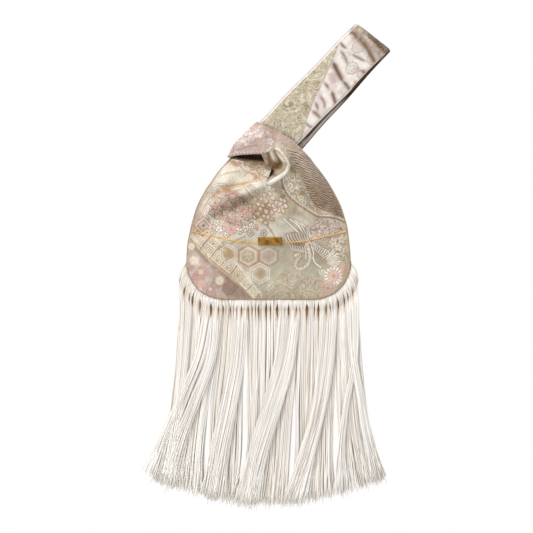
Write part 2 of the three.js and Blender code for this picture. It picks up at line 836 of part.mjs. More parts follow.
// The swept bundle that crosses the front of one lock
function lockBand(index) {
  const rings = [];
  for (let step = 0; step <= lockLevels; step++) {
    const share = step / lockLevels;
    const middle = levelAt(bandCourseShares[index], share) * fringeHalfWidth;
    const half = levelAt(bandHalfShares, share) * fringeHalfWidth;
    const thick = (bandDepth / 2) * lerp(0.7, 1, smoothstep(share, 0, 0.4));
    const depth = -(curtainFront + gap + bandDepth / 2);
    const ring = roundSection(1, bandSides, 0, 0).map(([u, v]) => {
      const x = middle + half * u;
      const height = lerp(-hingeDrop - bandTopDrop, tipHeight(x), share);
      return new THREE.Vector3(x, depth + thick * v, height);
    });
    rings.push(ring);
  }
  return loft(rings);
}

function piece(name, geometry, colour, roughness = 0.7, metalness = 0) {
  const material = new THREE.MeshStandardMaterial({ color: colour, roughness, metalness });
  const mesh = new THREE.Mesh(geometry, material);
  mesh.name = name;
  return mesh;
}

const pouch = new THREE.Group();
const inner = innerInset;
const fleeceDepth = (x, height) => wallDepth(x, height) - fleeceStart;
pouch.add(piece("front_panel", prongHoles(panelLayer(-1, 0, brocade, pouchHalfDepth)), colours.brocade));
pouch.add(piece("back_panel", panelLayer(1, 0, brocade, pouchHalfDepth), colours.brocade));
pouch.add(piece("front_fleece", washerWindow(panelLayer(-1, inner, fleece, fleeceDepth)), colours.fleece));
pouch.add(piece("back_fleece", panelLayer(1, inner, fleece, fleeceDepth), colours.fleece));
pouch.add(piece("front_lining", panelLayer(-1, inner, liningCloth, liningDepth), colours.lining));
pouch.add(piece("back_lining", panelLayer(1, inner, liningCloth, liningDepth), colours.lining));
pouch.add(piece("gusset", gusset(), colours.brocade));
pouch.add(piece("front_piping", piping(-1), colours.piping));
pouch.add(piece("back_piping", piping(1), colours.piping));
pouch.add(piece("base_stiffener", baseStiffener(), colours.fleece));
pouch.add(piece("left_shoulder_front", leftShoulder(-1), colours.brocade));
pouch.add(piece("left_shoulder_back", leftShoulder(1), colours.brocade));
pouch.add(piece("right_shoulder_front", rightShoulder(-1), colours.brocade));
pouch.add(piece("right_shoulder_back", rightShoulder(1), colours.brocade));

const bar = piece("name_bar", nameBar(), colours.brass, 0.35, 1);
bar.position.x = barOffset;
pouch.add(bar);
pouch.add(piece("bar_washer", barWasher(), colours.brass, 0.5, 1));
pouch.add(piece("gold_cord", goldCord(), colours.gold, 0.4, 0.8));

const fringe = new THREE.Group();
fringe.add(piece("fringe_header", fringeHeader(), colours.fringe, 0.8));
fringe.add(piece("fringe_skirt_left", fringeSkirt(-1), colours.fringe, 0.8));
fringe.add(piece("fringe_skirt_right", fringeSkirt(1), colours.fringe, 0.8));
for (let index = 0; index < bandCourseShares.length; index++) {
  fringe.add(piece(`fringe_lock_${index + 1}`, lockCurtain(index), colours.fringe, 0.8));
  fringe.add(piece(`fringe_sweep_${index + 1}`, lockBand(index), colours.fringe, 0.8));
}
pouch.add(fringe);

// The short handle's own frame: X runs from its closed end towards the pouch, Z across its width
const collar = new THREE.Group();
collar.position.set(knot.x, 0, knot.y);
collar.rotation.y = degToRad(collarLean);
const collarLiningStart = collarCloth + gap;
collar.add(piece("short_handle_front", collarLayer(-1, 0, collarCloth), colours.collar));
collar.add(piece("short_handle_back", collarLayer(1, 0, collarCloth), colours.collar));
collar.add(piece("knot_gather_front", knotGather(-1), colours.collar));
collar.add(piece("knot_gather_back", knotGather(1), colours.collar));
collar.add(piece("short_handle_lining_front", collarLayer(-1, collarLiningStart, liningCloth), colours.lining));
collar.add(piece("short_handle_lining_back", collarLayer(1, collarLiningStart, liningCloth), colours.lining));
pouch.add(collar);
pouch.add(piece("mouth_lip_front", mouthLip(-1), colours.brocade));
pouch.add(piece("mouth_lip_back", mouthLip(1), colours.brocade));

// The long handle's own frame: Z runs up the strap from the knot, X across its width
const handle = new THREE.Group();
handle.position.set(knot.x, 0, knot.y);
handle.rotation.y = Math.PI / 2 - leanRadians;
for (const [label, side] of [["front", -1], ["back", 1]]) {
  const root = strapLength(side, -rootDepth, neckStart - gap);
  const neck = strapLength(side, neckStart, neckStart + neckLength);
  handle.add(piece(`strap_root_${label}`, root, colours.strap));
  handle.add(piece(`strap_neck_${label}`, neck, colours.strap));
  // The back strap swings about the loop's end, so the two straps meet there and part below
  const turning = new THREE.Group();
  turning.position.z = handleReach;
  turning.rotation.y = side > 0 ? degToRad(-backStrapSkew) : 0;
  const strap = piece(`handle_${label}_strap`, strapLayer(side, gap, gap + strapCloth), colours.strap);
  const lining = piece(`handle_${label}_lining`, strapLayer(side, -liningCloth, 0), colours.lining);
  for (const mesh of [strap, lining]) {
    mesh.position.z = -handleReach;
    turning.add(mesh);
  }
  handle.add(turning);
}
pouch.add(handle);

// Everything hangs from the inside of the loop's end
const root = new THREE.Group();
pouch.position.set(
  -knot.x - handleReach * Math.cos(leanRadians),
  0,
  -knot.y - handleReach * Math.sin(leanRadians),
);
root.add(pouch);

export default root;
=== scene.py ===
import math

import bmesh
import bpy
import numpy as np
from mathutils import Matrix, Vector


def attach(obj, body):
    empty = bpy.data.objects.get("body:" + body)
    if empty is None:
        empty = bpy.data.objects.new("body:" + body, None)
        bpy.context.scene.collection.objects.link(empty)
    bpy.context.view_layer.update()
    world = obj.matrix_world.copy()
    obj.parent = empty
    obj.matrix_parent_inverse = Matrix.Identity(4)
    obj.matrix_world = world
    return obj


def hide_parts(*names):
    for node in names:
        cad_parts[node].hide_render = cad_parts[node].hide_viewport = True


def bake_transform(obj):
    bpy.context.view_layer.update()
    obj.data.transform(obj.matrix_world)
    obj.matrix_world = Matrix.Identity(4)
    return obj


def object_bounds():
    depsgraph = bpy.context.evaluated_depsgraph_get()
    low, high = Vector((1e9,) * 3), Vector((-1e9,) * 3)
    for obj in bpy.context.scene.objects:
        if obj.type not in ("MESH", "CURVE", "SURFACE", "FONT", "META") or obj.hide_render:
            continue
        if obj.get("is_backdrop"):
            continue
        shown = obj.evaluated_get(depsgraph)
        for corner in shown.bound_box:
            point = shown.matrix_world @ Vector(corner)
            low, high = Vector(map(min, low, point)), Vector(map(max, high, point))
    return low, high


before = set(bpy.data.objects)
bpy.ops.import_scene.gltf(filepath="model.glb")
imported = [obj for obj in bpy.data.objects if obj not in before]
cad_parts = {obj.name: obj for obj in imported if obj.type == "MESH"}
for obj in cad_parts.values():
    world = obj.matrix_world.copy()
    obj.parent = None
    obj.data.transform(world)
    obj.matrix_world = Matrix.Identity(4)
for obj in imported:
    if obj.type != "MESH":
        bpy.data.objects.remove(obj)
cad_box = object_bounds()

# The bag hangs free in front of white and is seen level from dead ahead.
# A long lens stands far off; the light is a broad soft lamp from the upper
# left, weaker ones from the right, above and below, and an even white room.
camera_data = bpy.data.cameras.new("camera")
camera_data.sensor_width = 36
camera_data.lens = 131.0
camera = bpy.data.objects.new("camera", camera_data)
camera.location = (-0.1469, -2.7, -0.3176)
camera.rotation_euler = (math.pi / 2, 0, 0)
bpy.context.collection.objects.link(camera)
bpy.context.scene.camera = camera
bpy.context.scene.view_settings.view_transform = "Standard"


def soft_lamp(name, place, width, power, aim=(-0.14, 0.0, -0.33)):
    """A square lamp of the given width that faces aim."""
    data = bpy.data.lights.new(name, "AREA")
    data.shape = "SQUARE"
    data.size = width
    data.energy = power
    lamp = bpy.data.objects.new(name, data)
    lamp.location = place
    way = np.array(aim) - np.array(place)
    flat = math.hypot(way[0], way[1])
    lamp.rotation_euler = (math.atan2(flat, -way[2]), 0, math.atan2(-way[0], way[1]))
    bpy.context.collection.objects.link(lamp)


soft_lamp("window_lamp", (-1.75, -1.75, 1.35), 0.75, 44)
soft_lamp("side_lamp", (2.0, -1.8, -0.3), 1.2, 8)
soft_lamp("top_lamp", (-0.1, -0.5, 1.7), 1.0, 13)
soft_lamp("rear_lamp", (-0.4, 2.4, 0.6), 1.2, 14)
soft_lamp("fringe_lamp", (-0.7, -1.6, -0.75), 0.9, 5, (-0.14, 0.0, -0.55))


def fill(tree, node, inputs):
    """Links or sets a node's inputs, each by its name or number."""
    for key, value in inputs.items():
        if isinstance(value, bpy.types.NodeSocket):
            tree.links.new(value, node.inputs[key])
        else:
            node.inputs[key].default_value = value
    return node


def add(tree, kind, inputs=None, **settings):
    """Adds a shader node, sets it up, and links or fills its inputs."""
    node = tree.nodes.new(kind if kind.startswith("NodeGroup") else "ShaderNode" + kind)
    for key, value in settings.items():
        setattr(node, key, value)
    return fill(tree, node, inputs or {})


def calculate(tree, operation, *values):
    """Result of a Math node on numbers or on other nodes' results."""
    return add(tree, "Math", dict(enumerate(values)), operation=operation).outputs[0]


def mixed(tree, share, first, second, kind="MIX"):
    """Two colours laid over each other by a share."""
    return add(tree, "Mix", {0: share, 6: first, 7: second}, data_type="RGBA", blend_type=kind).outputs[2]


def fresh_material(name):
    """A new material with its node tree and shader."""
    material = bpy.data.materials.new(name)
    material.use_nodes = True
    return material, material.node_tree, material.node_tree.nodes["Principled BSDF"]


def seen_directly(tree):
    """1 for camera, mirror and glass rays, and 0 for the rays that carry light."""
    path = add(tree, "LightPath").outputs
    either = calculate(tree, "MAXIMUM", path["Is Camera Ray"], path["Is Glossy Ray"])
    return calculate(tree, "MAXIMUM", either, path["Is Transmission Ray"])


world = bpy.data.worlds.new("room")
bpy.context.scene.world = world
world.use_nodes = True
tree = world.node_tree
tree.nodes.clear()
room_light = add(tree, "Background", {"Color": (1.0, 0.98, 0.97, 1), "Strength": 0.43})
white_wall = add(tree, "Background", {"Color": (1, 1, 1, 1), "Strength": 1.0})
room = add(tree, "MixShader", {0: seen_directly(tree), 1: room_light.outputs[0], 2: white_wall.outputs[0]})
add(tree, "OutputWorld", {"Surface": room.outputs[0]})

floor_mesh = bpy.data.meshes.new("floor")
floor_mesh.from_pydata([(x, y, -1.15) for x, y in ((-2.2, -2.2), (2.0, -2.2), (2.0, 2.0), (-2.2, 2.0))], [],
                       [(0, 1, 2, 3)])
floor = bpy.data.objects.new("floor", floor_mesh)
bpy.context.collection.objects.link(floor)
pale, tree, shader = fresh_material("pale_floor")
cloud = add(tree, "TexNoise", {"Scale": 6.0, "Detail": 3.0}).outputs[0]
fill(tree, shader, {"Base Color": mixed(tree, cloud, (0.86, 0.86, 0.85, 1), (0.9, 0.9, 0.89, 1)),
                    "Roughness": 0.7})
floor_mesh.materials.append(pale)
floor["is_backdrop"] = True


# Front of the pouch with its shoulders and the short handle: one loosely folded
# layer of patchwork obi brocade. The right shoulder rises round the mouth and
# crosses as the short handle; the left one goes up into it.

# The cloth's places are laid out flat, in steps that count columns to the right
# and rows down.
step_mm = 1.39
step_m = step_mm * 0.001
knot = np.array([-0.14413, 0.0, -0.14718])
knot_column, knot_row, seam_row = 268.5, 143.9, 298.6
flat_half, corner_radius, side_radius = 62, 51, 210
pouch_height, fullest_height = 215, 62


def edge_of_pouch(height):
    """Half the pouch's width in mm at a height in mm over the bottom seam: a
    flat bottom, a round corner, then a long arc that leans in."""
    in_corner = corner_radius - np.clip(height, 0, corner_radius)
    low = flat_half + np.sqrt(np.maximum(corner_radius**2 - in_corner**2, 0))
    over_corner = np.maximum(height, corner_radius) - corner_radius
    high = flat_half + corner_radius - side_radius + np.sqrt(np.maximum(side_radius**2 - over_corner**2, 0))
    return np.where(height < corner_radius, low, high)


def ease(values, start, end):
    """Rises smoothly from 0 at start to 1 at end."""
    share = np.clip((values - start) / (end - start), 0, 1)
    return share * share * (3 - 2 * share)


def nearest(spots, points, closed=False):
    """Distance and nearest point to a line through points: on each leg the
    spot is projected, kept between the leg's ends, and the closest leg wins."""
    points = np.asarray(points, float)
    if closed:
        points = np.vstack([points, points[:1]])
    best = np.full(len(spots), 1e18)
    foot = np.zeros((len(spots), 2))
    for start, end in zip(points[:-1], points[1:]):
        leg = end - start
        share = np.clip((spots - start) @ leg / max(leg @ leg, 1e-12), 0, 1)
        there = start + share[:, None] * leg
        gap = ((spots - there) ** 2).sum(axis=1)
        closer = gap < best
        best = np.where(closer, gap, best)
        foot = np.where(closer[:, None], there, foot)
    return np.sqrt(best), foot


def smooth_line(points, count):
    """A line through all the points without corners: a Catmull-Rom curve, each
    leg a cubic of its two ends and their two neighbours."""
    points = np.asarray(points, float)
    ends = np.vstack([2 * points[0] - points[1], points, 2 * points[-1] - points[-2]])
    place = np.linspace(0, len(points) - 1 - 1e-9, count)
    leg = place.astype(int)
    t = (place - leg)[:, None]
    a, b, c, d = ends[leg], ends[leg + 1], ends[leg + 2], ends[leg + 3]
    return 0.5 * (2 * b + (c - a) * t + (2 * a - 5 * b + 4 * c - d) * t**2 + (3 * b - a - 3 * c + d) * t**3)


def inside_of(spots, outline):
    """Whether each spot lies in a closed line: a ray to the right crosses it an
    odd number of times."""
    inside = np.zeros(len(spots), bool)
    for start, end in zip(outline, np.roll(outline, -1, axis=0)):
        spans = (start[1] > spots[:, 1]) != (end[1] > spots[:, 1])
        rise = end[1] - start[1] if end[1] != start[1] else 1e-12
        inside ^= spans & (spots[:, 0] < start[0] + (spots[:, 1] - start[1]) * (end[0] - start[0]) / rise)
    return inside


def grid_faces(rows, wide, closed=False):
    """The four corners of each cell of a grid of points, row after row; a
    closed grid goes on from the end of each row to its start."""
    cells = wide if closed else wide - 1
    first = (np.arange(rows - 1)[:, None] * wide + np.arange(cells)).ravel()
    beside = (np.arange(rows - 1)[:, None] * wide + (np.arange(cells) + 1) % wide).ravel()
    return np.stack([first, beside, beside + wide, first + wide], axis=1)


def cut_cloth(outline, step):
    """Cuts a flat cloth to a closed outline. Points lie on an even grid, those
    within half a step of the outline are drawn onto it, and a cell stays where
    four or three of its corners are inside."""
    low, high = outline.min(axis=0) - step, outline.max(axis=0) + step
    across = np.arange(low[0], high[0] + step, step)
    down = np.arange(low[1], high[1] + step, step)
    spots = np.stack([grid.ravel() for grid in np.meshgrid(across, down)], axis=1)
    gap, foot = nearest(spots, outline, closed=True)
    near = gap < 0.55 * step
    keep = inside_of(spots, outline) | near
    spots[near] = foot[near]
    cells = grid_faces(len(down), len(across))[:, ::-1]
    held = keep[cells]
    quads = cells[held.all(axis=1)]
    three = held.sum(axis=1) == 3
    tris = np.concatenate([cells[three & ~held[:, k]][:, np.arange(k + 1, k + 4) % 4] for k in range(4)])
    used = np.unique(np.concatenate([quads.ravel(), tris.ravel()]))
    number = np.zeros(len(spots), int)
    number[used] = np.arange(len(used))
    return spots[used], number[quads], number[tris]


def in_space(spots, depth, side=-1):
    """Columns and rows to metres: columns run along X and rows down Z from the
    knot, and depth in mm is laid off to the front, or to the back for side 1."""
    x = knot[0] + (spots[:, 0] - knot_column) * step_m
    z = knot[2] - (spots[:, 1] - knot_row) * step_m
    return np.stack([x, side * depth * 0.001, z], axis=1)


def make_piece(name, points, quads, tris, material, loom=None, uv=None, colour=None):
    """Puts points and faces into a mesh of its own, with the loom's thread
    colours, thread heights and scrollwork kept at its points."""
    mesh = bpy.data.meshes.new(name)
    faces = np.asarray(quads).tolist() + np.asarray(tris).tolist()
    mesh.from_pydata(np.asarray(points).tolist(), [], faces)
    mesh.polygons.foreach_set("use_smooth", np.ones(len(mesh.polygons), bool))
    colour = loom.colour if loom else colour
    if colour is not None:
        layer = mesh.color_attributes.new("thread", "FLOAT_COLOR", "POINT")
        with_alpha = np.column_stack([colour, np.ones(len(colour))])
        layer.data.foreach_set("color", with_alpha.astype(np.float32).ravel())
    for key in ("raised", "scroll") if loom else ():
        strengths = mesh.attributes.new(key, "FLOAT", "POINT").data
        strengths.foreach_set("value", getattr(loom, key).astype(np.float32))
    if uv is not None:
        loops = np.zeros(len(mesh.loops), int)
        mesh.loops.foreach_get("vertex_index", loops)
        mesh.uv_layers.new(name="lay").data.foreach_set("uv", uv[loops].astype(np.float32).ravel())
    mesh.update()
    mesh.materials.append(material)
    piece = bpy.data.objects.new(name, mesh)
    bpy.context.collection.objects.link(piece)
    return piece


def cloth_piece(name, side, cut, depth, material, loom=None, inwards=False):
    """Makes a cut cloth into a piece of the front or the back, whose faces look
    outwards or inwards."""
    spots, quads, tris = cut
    order = slice(None) if (side < 0) != inwards else slice(None, None, -1)
    return make_piece(name, in_space(spots, depth, side), quads[:, order], tris[:, order], material, loom)


def length_along(path):
    """The distance from the start of a path to each of its points."""
    return np.concatenate([[0], np.cumsum(np.linalg.norm(np.diff(path, axis=0), axis=1))])


def from_seam(x, height):
    """Columns and rows of places in mm from the middle of the bottom seam."""
    return np.stack([knot_column + x / step_mm, seam_row - height / step_mm], axis=1)


rows = np.arange(164, 231, 6)
right_columns = np.array([313.4, 318.2, 322.8, 327, 330.7, 334, 337.2, 340, 342.2, 344, 345.8, 347])
left_columns = np.array([226, 220.6, 216, 212, 207.7, 204, 200.8, 198, 195.8, 194, 192.4, 191])
low_rows = np.array([242.0, 254.0])
low_edge = edge_of_pouch((seam_row - low_rows) * step_mm) / step_mm
corner_turn = np.linspace(0, math.pi / 2, 22)
round_x = flat_half + corner_radius * np.cos(corner_turn)
round_height = corner_radius - corner_radius * np.sin(corner_turn)
right_rim = np.vstack([
    [[309.5, 158.5]],
    np.stack([right_columns, rows], axis=1),
    np.stack([knot_column + low_edge, low_rows], axis=1),
    from_seam(round_x, round_height),
])
left_rim = np.vstack([
    from_seam(-flat_half - corner_radius * np.sin(corner_turn),
              corner_radius - corner_radius * np.cos(corner_turn)),
    np.stack([knot_column - low_edge, low_rows], axis=1)[::-1],
    np.stack([left_columns, rows], axis=1)[::-1],
    [[230.6, 158.6]],
])
bottom_columns = np.linspace(knot_column + 44.6, knot_column - 44.6, 30)[1:-1]
bottom_line = np.stack([bottom_columns, np.full(len(bottom_columns), seam_row)], axis=1)
top_hem = smooth_line([(255.9, 121.8), (262, 125.3), (269.9, 129.8), (278, 133.8), (286.5, 138.1), (293, 142.6),
                       (298.6, 147.6), (304, 152.8), (309.5, 158.5)], 60)
tunnel_line = smooth_line([(230.6, 158.6), (238, 160.2), (245, 162), (258, 164.6), (266, 166.3),
                           (271.2, 167.6)], 40)
mouth_side = smooth_line([(271.2, 167.6), (270.6, 172), (268.9, 176.5), (267.2, 180), (268, 183)], 24)
crest_line = smooth_line([(268, 183), (274, 179), (281.5, 174.5), (286.3, 170), (287.6, 164), (284, 157),
                          (279, 151), (273.2, 146.7)], 70)
low_hem = smooth_line([(273.2, 146.7), (266.5, 150.6), (262, 152.9), (255, 153.1), (240, 154), (228.5, 155.9)],
                      60)
closed_end = smooth_line([(228.5, 155.9), (230.2, 149.5), (233.6, 143.8), (238.4, 138.4), (246, 130.6),
                          (252, 124.8), (255.9, 121.8)], 50)
right_side, left_side = right_rim[:13], left_rim[22:]
front_outline = np.vstack([
    top_hem[:-1], smooth_line(right_side, 60), right_rim[13:], bottom_line, left_rim[:-1],
    tunnel_line[:-1], mouth_side[:-1], crest_line[:-1], low_hem[:-1], closed_end[:-1],
])


def soft_ridge(spots, points, width, height, fade=8.0):
    """A fold of the cloth along a line: a bell curve over the distance to it,
    which fades out towards both ends of the line."""
    path = smooth_line(points, 24)
    gap, foot = nearest(spots, path)
    ends = np.minimum(np.hypot(*(foot - path[0]).T), np.hypot(*(foot - path[-1]).T))
    return height * np.exp(-((gap / width) ** 2)) * (0.25 + 0.75 * ease(ends, 0, fade))


def drift(spots, size, seed):
    """Slow uneven waver between about -1 and 1: seven sine waves of random
    direction, length near size, and phase, added up."""
    rng = np.random.default_rng(seed)
    turns = rng.uniform(0, 2 * math.pi, 7)
    stretches = rng.uniform(0.7, 1.5, 7)
    phases = rng.uniform(0, 2 * math.pi, 7)
    total = np.zeros(len(spots))
    for turn, stretch, phase in zip(turns, stretches, phases):
        way = spots[:, 0] * math.cos(turn) + spots[:, 1] * math.sin(turn)
        total += np.sin(way * 2 * math.pi / (size * stretch) + phase)
    return total / 3.2


def round_off(gap, reach):
    """0 at an edge and 1 from reach inwards, along a quarter circle."""
    return np.sqrt(np.clip(1 - (1 - np.clip(gap / reach, 0, 1)) ** 2, 0, 1))


def pouch_depth(spots):
    """How far in mm the cloth stands off the middle plane. Low down it is the
    pouch's bulge, which falls to the rim; higher up it is drawn together to
    the knot, rounded at the closed end, and the left shoulder sinks into the
    short handle. Folds and ribs are added on top."""
    column, row = spots.T
    x = (column - knot_column) * step_mm
    height = (seam_row - row) * step_mm
    share = np.clip(np.abs(x) / edge_of_pouch(np.clip(height, 0, pouch_height)), 0, 1)
    below = np.clip(height, 0, fullest_height) / fullest_height
    above = (np.clip(height, fullest_height, pouch_height) - fullest_height) / (pouch_height - fullest_height)
    rise = np.where(height < fullest_height, 1 - (1 - below) ** 2, 1 - 0.5 * above**2)
    bulge = 8 + 12 * (1 - share**2.2) * rise
    to_right, to_left, to_closed, to_tunnel = (
        nearest(spots, line)[0] for line in (right_side, left_side, closed_end, tunnel_line)
    )
    handle = np.minimum(17.5 * round_off(to_closed, 10), 7 + 10.5 * round_off(to_right, 15))
    shoulder = 6.5 + 8.5 * round_off(to_left, 14) - 4.5 * (1 - ease(to_tunnel, 0, 12))
    under = ease(column, 277, 263) * (row > 157.2)
    drawn_in = handle * (1 - under) + shoulder * under
    up = ease(row, 206, 172)
    depth = bulge * (1 - up) + drawn_in * up
    folds = soft_ridge(spots, crest_line[::6], 6.0, 4.6, 3)
    for points, width, tall in cloth_folds:
        folds += soft_ridge(spots, points, width, 1.5 * tall)
    quiet = ease(np.minimum(to_closed, 12), 0, 9)
    rim_gap = np.minimum(np.minimum(to_right, to_left), (seam_row - row) + 2)
    folds *= (0.15 + 0.85 * ease(rim_gap, 0, 10)) * quiet
    folds *= 1 - 0.9 * np.exp(-(((column - 270) / 15) ** 4) - ((row - 241.5) / 6) ** 4)
    slack = 0.9 * drift(spots, 34, 3) + 0.35 * drift(spots, 13, 4)
    pucker = 0.45 * np.sin(x * 0.62 + 1.5 * drift(spots, 30, 8)) * np.exp(-height / 9.0) * (height > -1)
    return depth + folds + slack * ease(rim_gap, 0, 12) * quiet + pucker


cloth_folds = [
    ([(268, 184), (256, 188.5), (244, 193), (230, 200), (214, 209)], 6.5, 4.6),
    ([(266, 193), (250, 202), (232, 209), (216, 219), (204, 232)], 6.0, -3.6),
    ([(292, 214), (272, 222), (250, 230), (226, 238), (208, 243)], 8.0, 3.2),
    ([(279, 184), (284, 193), (292, 202), (304, 210)], 4.0, -3.4),
    ([(272, 194), (282, 204), (296, 213)], 7.0, 2.2),
    ([(301, 160), (313, 178), (326, 199), (338, 218)], 7.0, 2.4),
    ([(292, 163), (300, 180), (312, 198), (328, 213)], 5.0, -2.8),
    ([(240, 166), (226, 181), (210, 199), (198, 219)], 7.0, 2.2),
    ([(252, 184), (240, 189), (222, 190), (210, 201)], 3.4, -3.0),
    ([(221, 172), (214, 184), (204, 202), (195, 226)], 3.6, -2.4),
    ([(288, 158), (298, 168), (304, 178)], 4.5, -2.4),
    ([(196, 247), (215, 265), (236, 283)], 6.0, -1.8),
    ([(236, 246), (262, 262), (290, 282), (312, 294)], 11.0, -1.4),
    ([(330, 226), (318, 244), (306, 262)], 8.0, 1.6),
    ([(276, 130), (286, 141), (297, 150)], 5.0, 1.6),
    ([(243, 132), (252, 142), (262, 149)], 6.5, 1.8),
    ([(232, 148), (246, 147), (262, 147)], 4.0, -1.2),
    ([(206, 262), (224, 276), (240, 290)], 7.0, 1.3),
    ([(300, 236), (318, 231), (336, 224)], 5.0, -1.6),
]

# Thread colours of the brocade.
shades = {
    "ivory": (230, 224, 208), "champagne": (198, 186, 162), "sage": (184, 177, 154), "olive": (166, 153, 126),
    "tan": (172, 145, 112), "brown": (130, 102, 76), "umber": (84, 60, 38), "shade": (44, 29, 17),
    "mauve": (190, 168, 156),
    "dusk": (152, 125, 110), "pink": (206, 172, 168), "rose": (222, 201, 186), "coral": (200, 134, 116),
    "red": (168, 88, 72), "gold": (202, 158, 90), "cream": (240, 232, 214), "slate": (134, 120, 106),
    "silver": (214, 205, 192), "white": (246, 242, 231), "moss": (196, 188, 160), "pearl": (248, 240, 234),
}


def light_of(tone):
    """A colour given from 0 to 255, as the light it returns."""
    return (np.array(tone) / 255.0) ** 2.2


def linear(tone):
    """The same for a shader's colour, with full cover."""
    return (*light_of(tone), 1)


dyed = {name: light_of(tone) for name, tone in shades.items()}


def cover(gap, soft=0.6):
    """1 inside a shape and 0 outside, easing over soft at its edge."""
    return np.clip(0.5 - gap / soft, 0, 1)


class Loom:
    """Lays threads of one colour after another over a cloth's points: the
    colour under a motif is mixed out by how much the motif covers, and the
    motif's threads stand up by its lift. Scroll is where fine scrollwork shows."""

    def __init__(self, spots, ground):
        self.spots = spots
        self.colour = np.tile(dyed[ground], (len(spots), 1))
        self.raised = np.zeros(len(spots))
        self.scroll = np.zeros(len(spots))

    def lay(self, mask, shade, lift=0.0, share=1.0, where=slice(None)):
        """Mixes in a shade and a height by mask times share. Threads that stand
        high cover the scrollwork."""
        mask = (mask * share)[:, None]
        self.colour[where] = self.colour[where] * (1 - mask) + dyed[shade] * mask
        self.raised[where] = self.raised[where] * (1 - mask[:, 0]) + lift * mask[:, 0]
        if lift > 0.3:
            self.scroll[where] = self.scroll[where] * (1 - 0.9 * mask[:, 0])

    def streak(self, points, width, shade, lift, share, fade=3, inside=1):
        """A soft band of colour along a line, which fades out at both ends."""
        self.lay(soft_ridge(self.spots, points, width, 1.0, fade) * inside, shade, lift, share)

    def deepen(self, points, width, change, fade, tint=1.0):
        """Paints shade or light along a fold: the cloth darker or paler there."""
        self.colour *= 1 + change * soft_ridge(self.spots, points, width, 1.0, fade)[:, None] * tint

    def about(self, x, y, reach, turn=0.0):
        """The points within reach of a motif's middle, with their places along
        and across the motif, which is turned by degrees."""
        where = np.flatnonzero(np.maximum(np.abs(self.spots[:, 0] - x), np.abs(self.spots[:, 1] - y)) < reach)
        turn = math.radians(turn)
        dx, dy = self.spots[where, 0] - x, self.spots[where, 1] - y
        return where, dx * math.cos(turn) + dy * math.sin(turn), dy * math.cos(turn) - dx * math.sin(turn)

    def line(self, points, width, shade, lift=0.5, share=1.0, edge=None):
        """A thread along a line, with a darker thread on both sides of it."""
        path = smooth_line(points, max(8, 5 * len(points))) if len(points) > 2 else np.asarray(points, float)
        low, high = path.min(axis=0) - width - 2, path.max(axis=0) + width + 2
        where = np.flatnonzero(((self.spots > low) & (self.spots < high)).all(axis=1))
        gap, _ = nearest(self.spots[where], path)
        if edge:
            self.lay(cover(gap - width / 2 - 0.6), edge, 0.1, 0.85 * share, where)
        self.lay(cover(gap - width / 2), shade, lift, share, where)

    def petal(self, x, y, length, width, turn, shade, lift=0.7, rim=None, share=1.0):
        """An oval thread patch with a darker outline."""
        where, a, b = self.about(x, y, max(length, width) + 2, turn)
        gap = (np.sqrt((a / length) ** 2 + (b / width) ** 2) - 1) * min(length, width)
        if rim:
            self.lay(cover(gap - 0.6), rim, 0.2, 0.9 * share, where)
        self.lay(cover(gap + 0.1), shade, lift, share, where)

    def blossom(self, x, y, size, shade, rim="brown", heart="gold", petals=5, turn=0.0, share=1.0):
        """Petals in a ring round a small heart."""
        for k in range(petals):
            angle = math.radians(turn + 360 * k / petals)
            out_x, out_y = size * 0.56 * math.cos(angle), size * 0.56 * math.sin(angle)
            self.petal(x + out_x, y + out_y, size * 0.44, size * 0.36, math.degrees(angle), shade, 0.8, rim,
                       share)
        self.petal(x, y, size * 0.2, size * 0.2, 0, heart, 1.0, None, share)

    def rays(self, x, y, size, shade, between, heart=None, count=13, rim="dusk", share=1.0, core=0.3):
        """Long narrow petals round a heart: the angle is cut in equal rays, each
        rounded at its outer end, with darker threads between them."""
        where, a, b = self.about(x, y, size + 2)
        away = np.hypot(a, b)
        ray = np.abs(np.sin(np.arctan2(b, a) * count / 2))
        reach = size * (0.78 + 0.22 * ray)
        self.lay(cover(away - reach - 0.7), rim, 0.2, 0.7 * share, where)
        self.lay(cover(away - reach), between, 0.3, share, where)
        self.lay(cover(away - reach) * ease(ray, 0.25, 0.6), shade, 0.8, share, where)
        if heart:
            self.lay(cover(away - size * core - 0.4), rim, 0.2, 0.7 * share, where)
            self.lay(cover(away - size * core), heart, 1.0, share, where)

    def hexagon(self, x, y, wide, tall, width, shade, fill=None, share=1.0):
        """A tortoiseshell cell: six straight sides, the upper and lower ones
        sloping; the larger of three even distances is the distance to it."""
        where, a, b = self.about(x, y, max(wide, tall) + 2)
        gap = np.maximum(np.abs(a) - wide, (np.abs(b) / tall + np.abs(a) / (2 * wide) - 1) * tall * 0.89)
        if fill:
            self.lay(cover(gap), fill, 0.2, share, where)
        self.lay(cover(np.abs(gap) - width / 2 - 0.5), "brown", 0.2, 0.45 * share, where)
        self.lay(cover(np.abs(gap) - width / 2), shade, 0.7, share, where)
        self.lay(cover(np.abs(gap + 2.3) - 0.45), "cream", 0.6, 0.7 * share, where)

    def key_square(self, x, y, half, turn, shade, width=0.95, rings=(1.0, 0.62, 0.24), share=1.0):
        """One square of the key fret: squares inside each other, the middle one
        opened on one side, so that they read as a winding line."""
        where, a, b = self.about(x, y, 1.5 * half + 2, turn)
        ring = np.maximum(np.abs(a), np.abs(b))
        mask = np.zeros(len(a))
        for k, reach in enumerate(rings):
            open_side = (np.abs(a) < half * 0.16) & (b > 0) & (k == 1)
            mask = np.maximum(mask, cover(np.abs(ring - reach * half) - width / 2) * ~open_side)
        self.lay(mask, shade, 0.9, share, where)

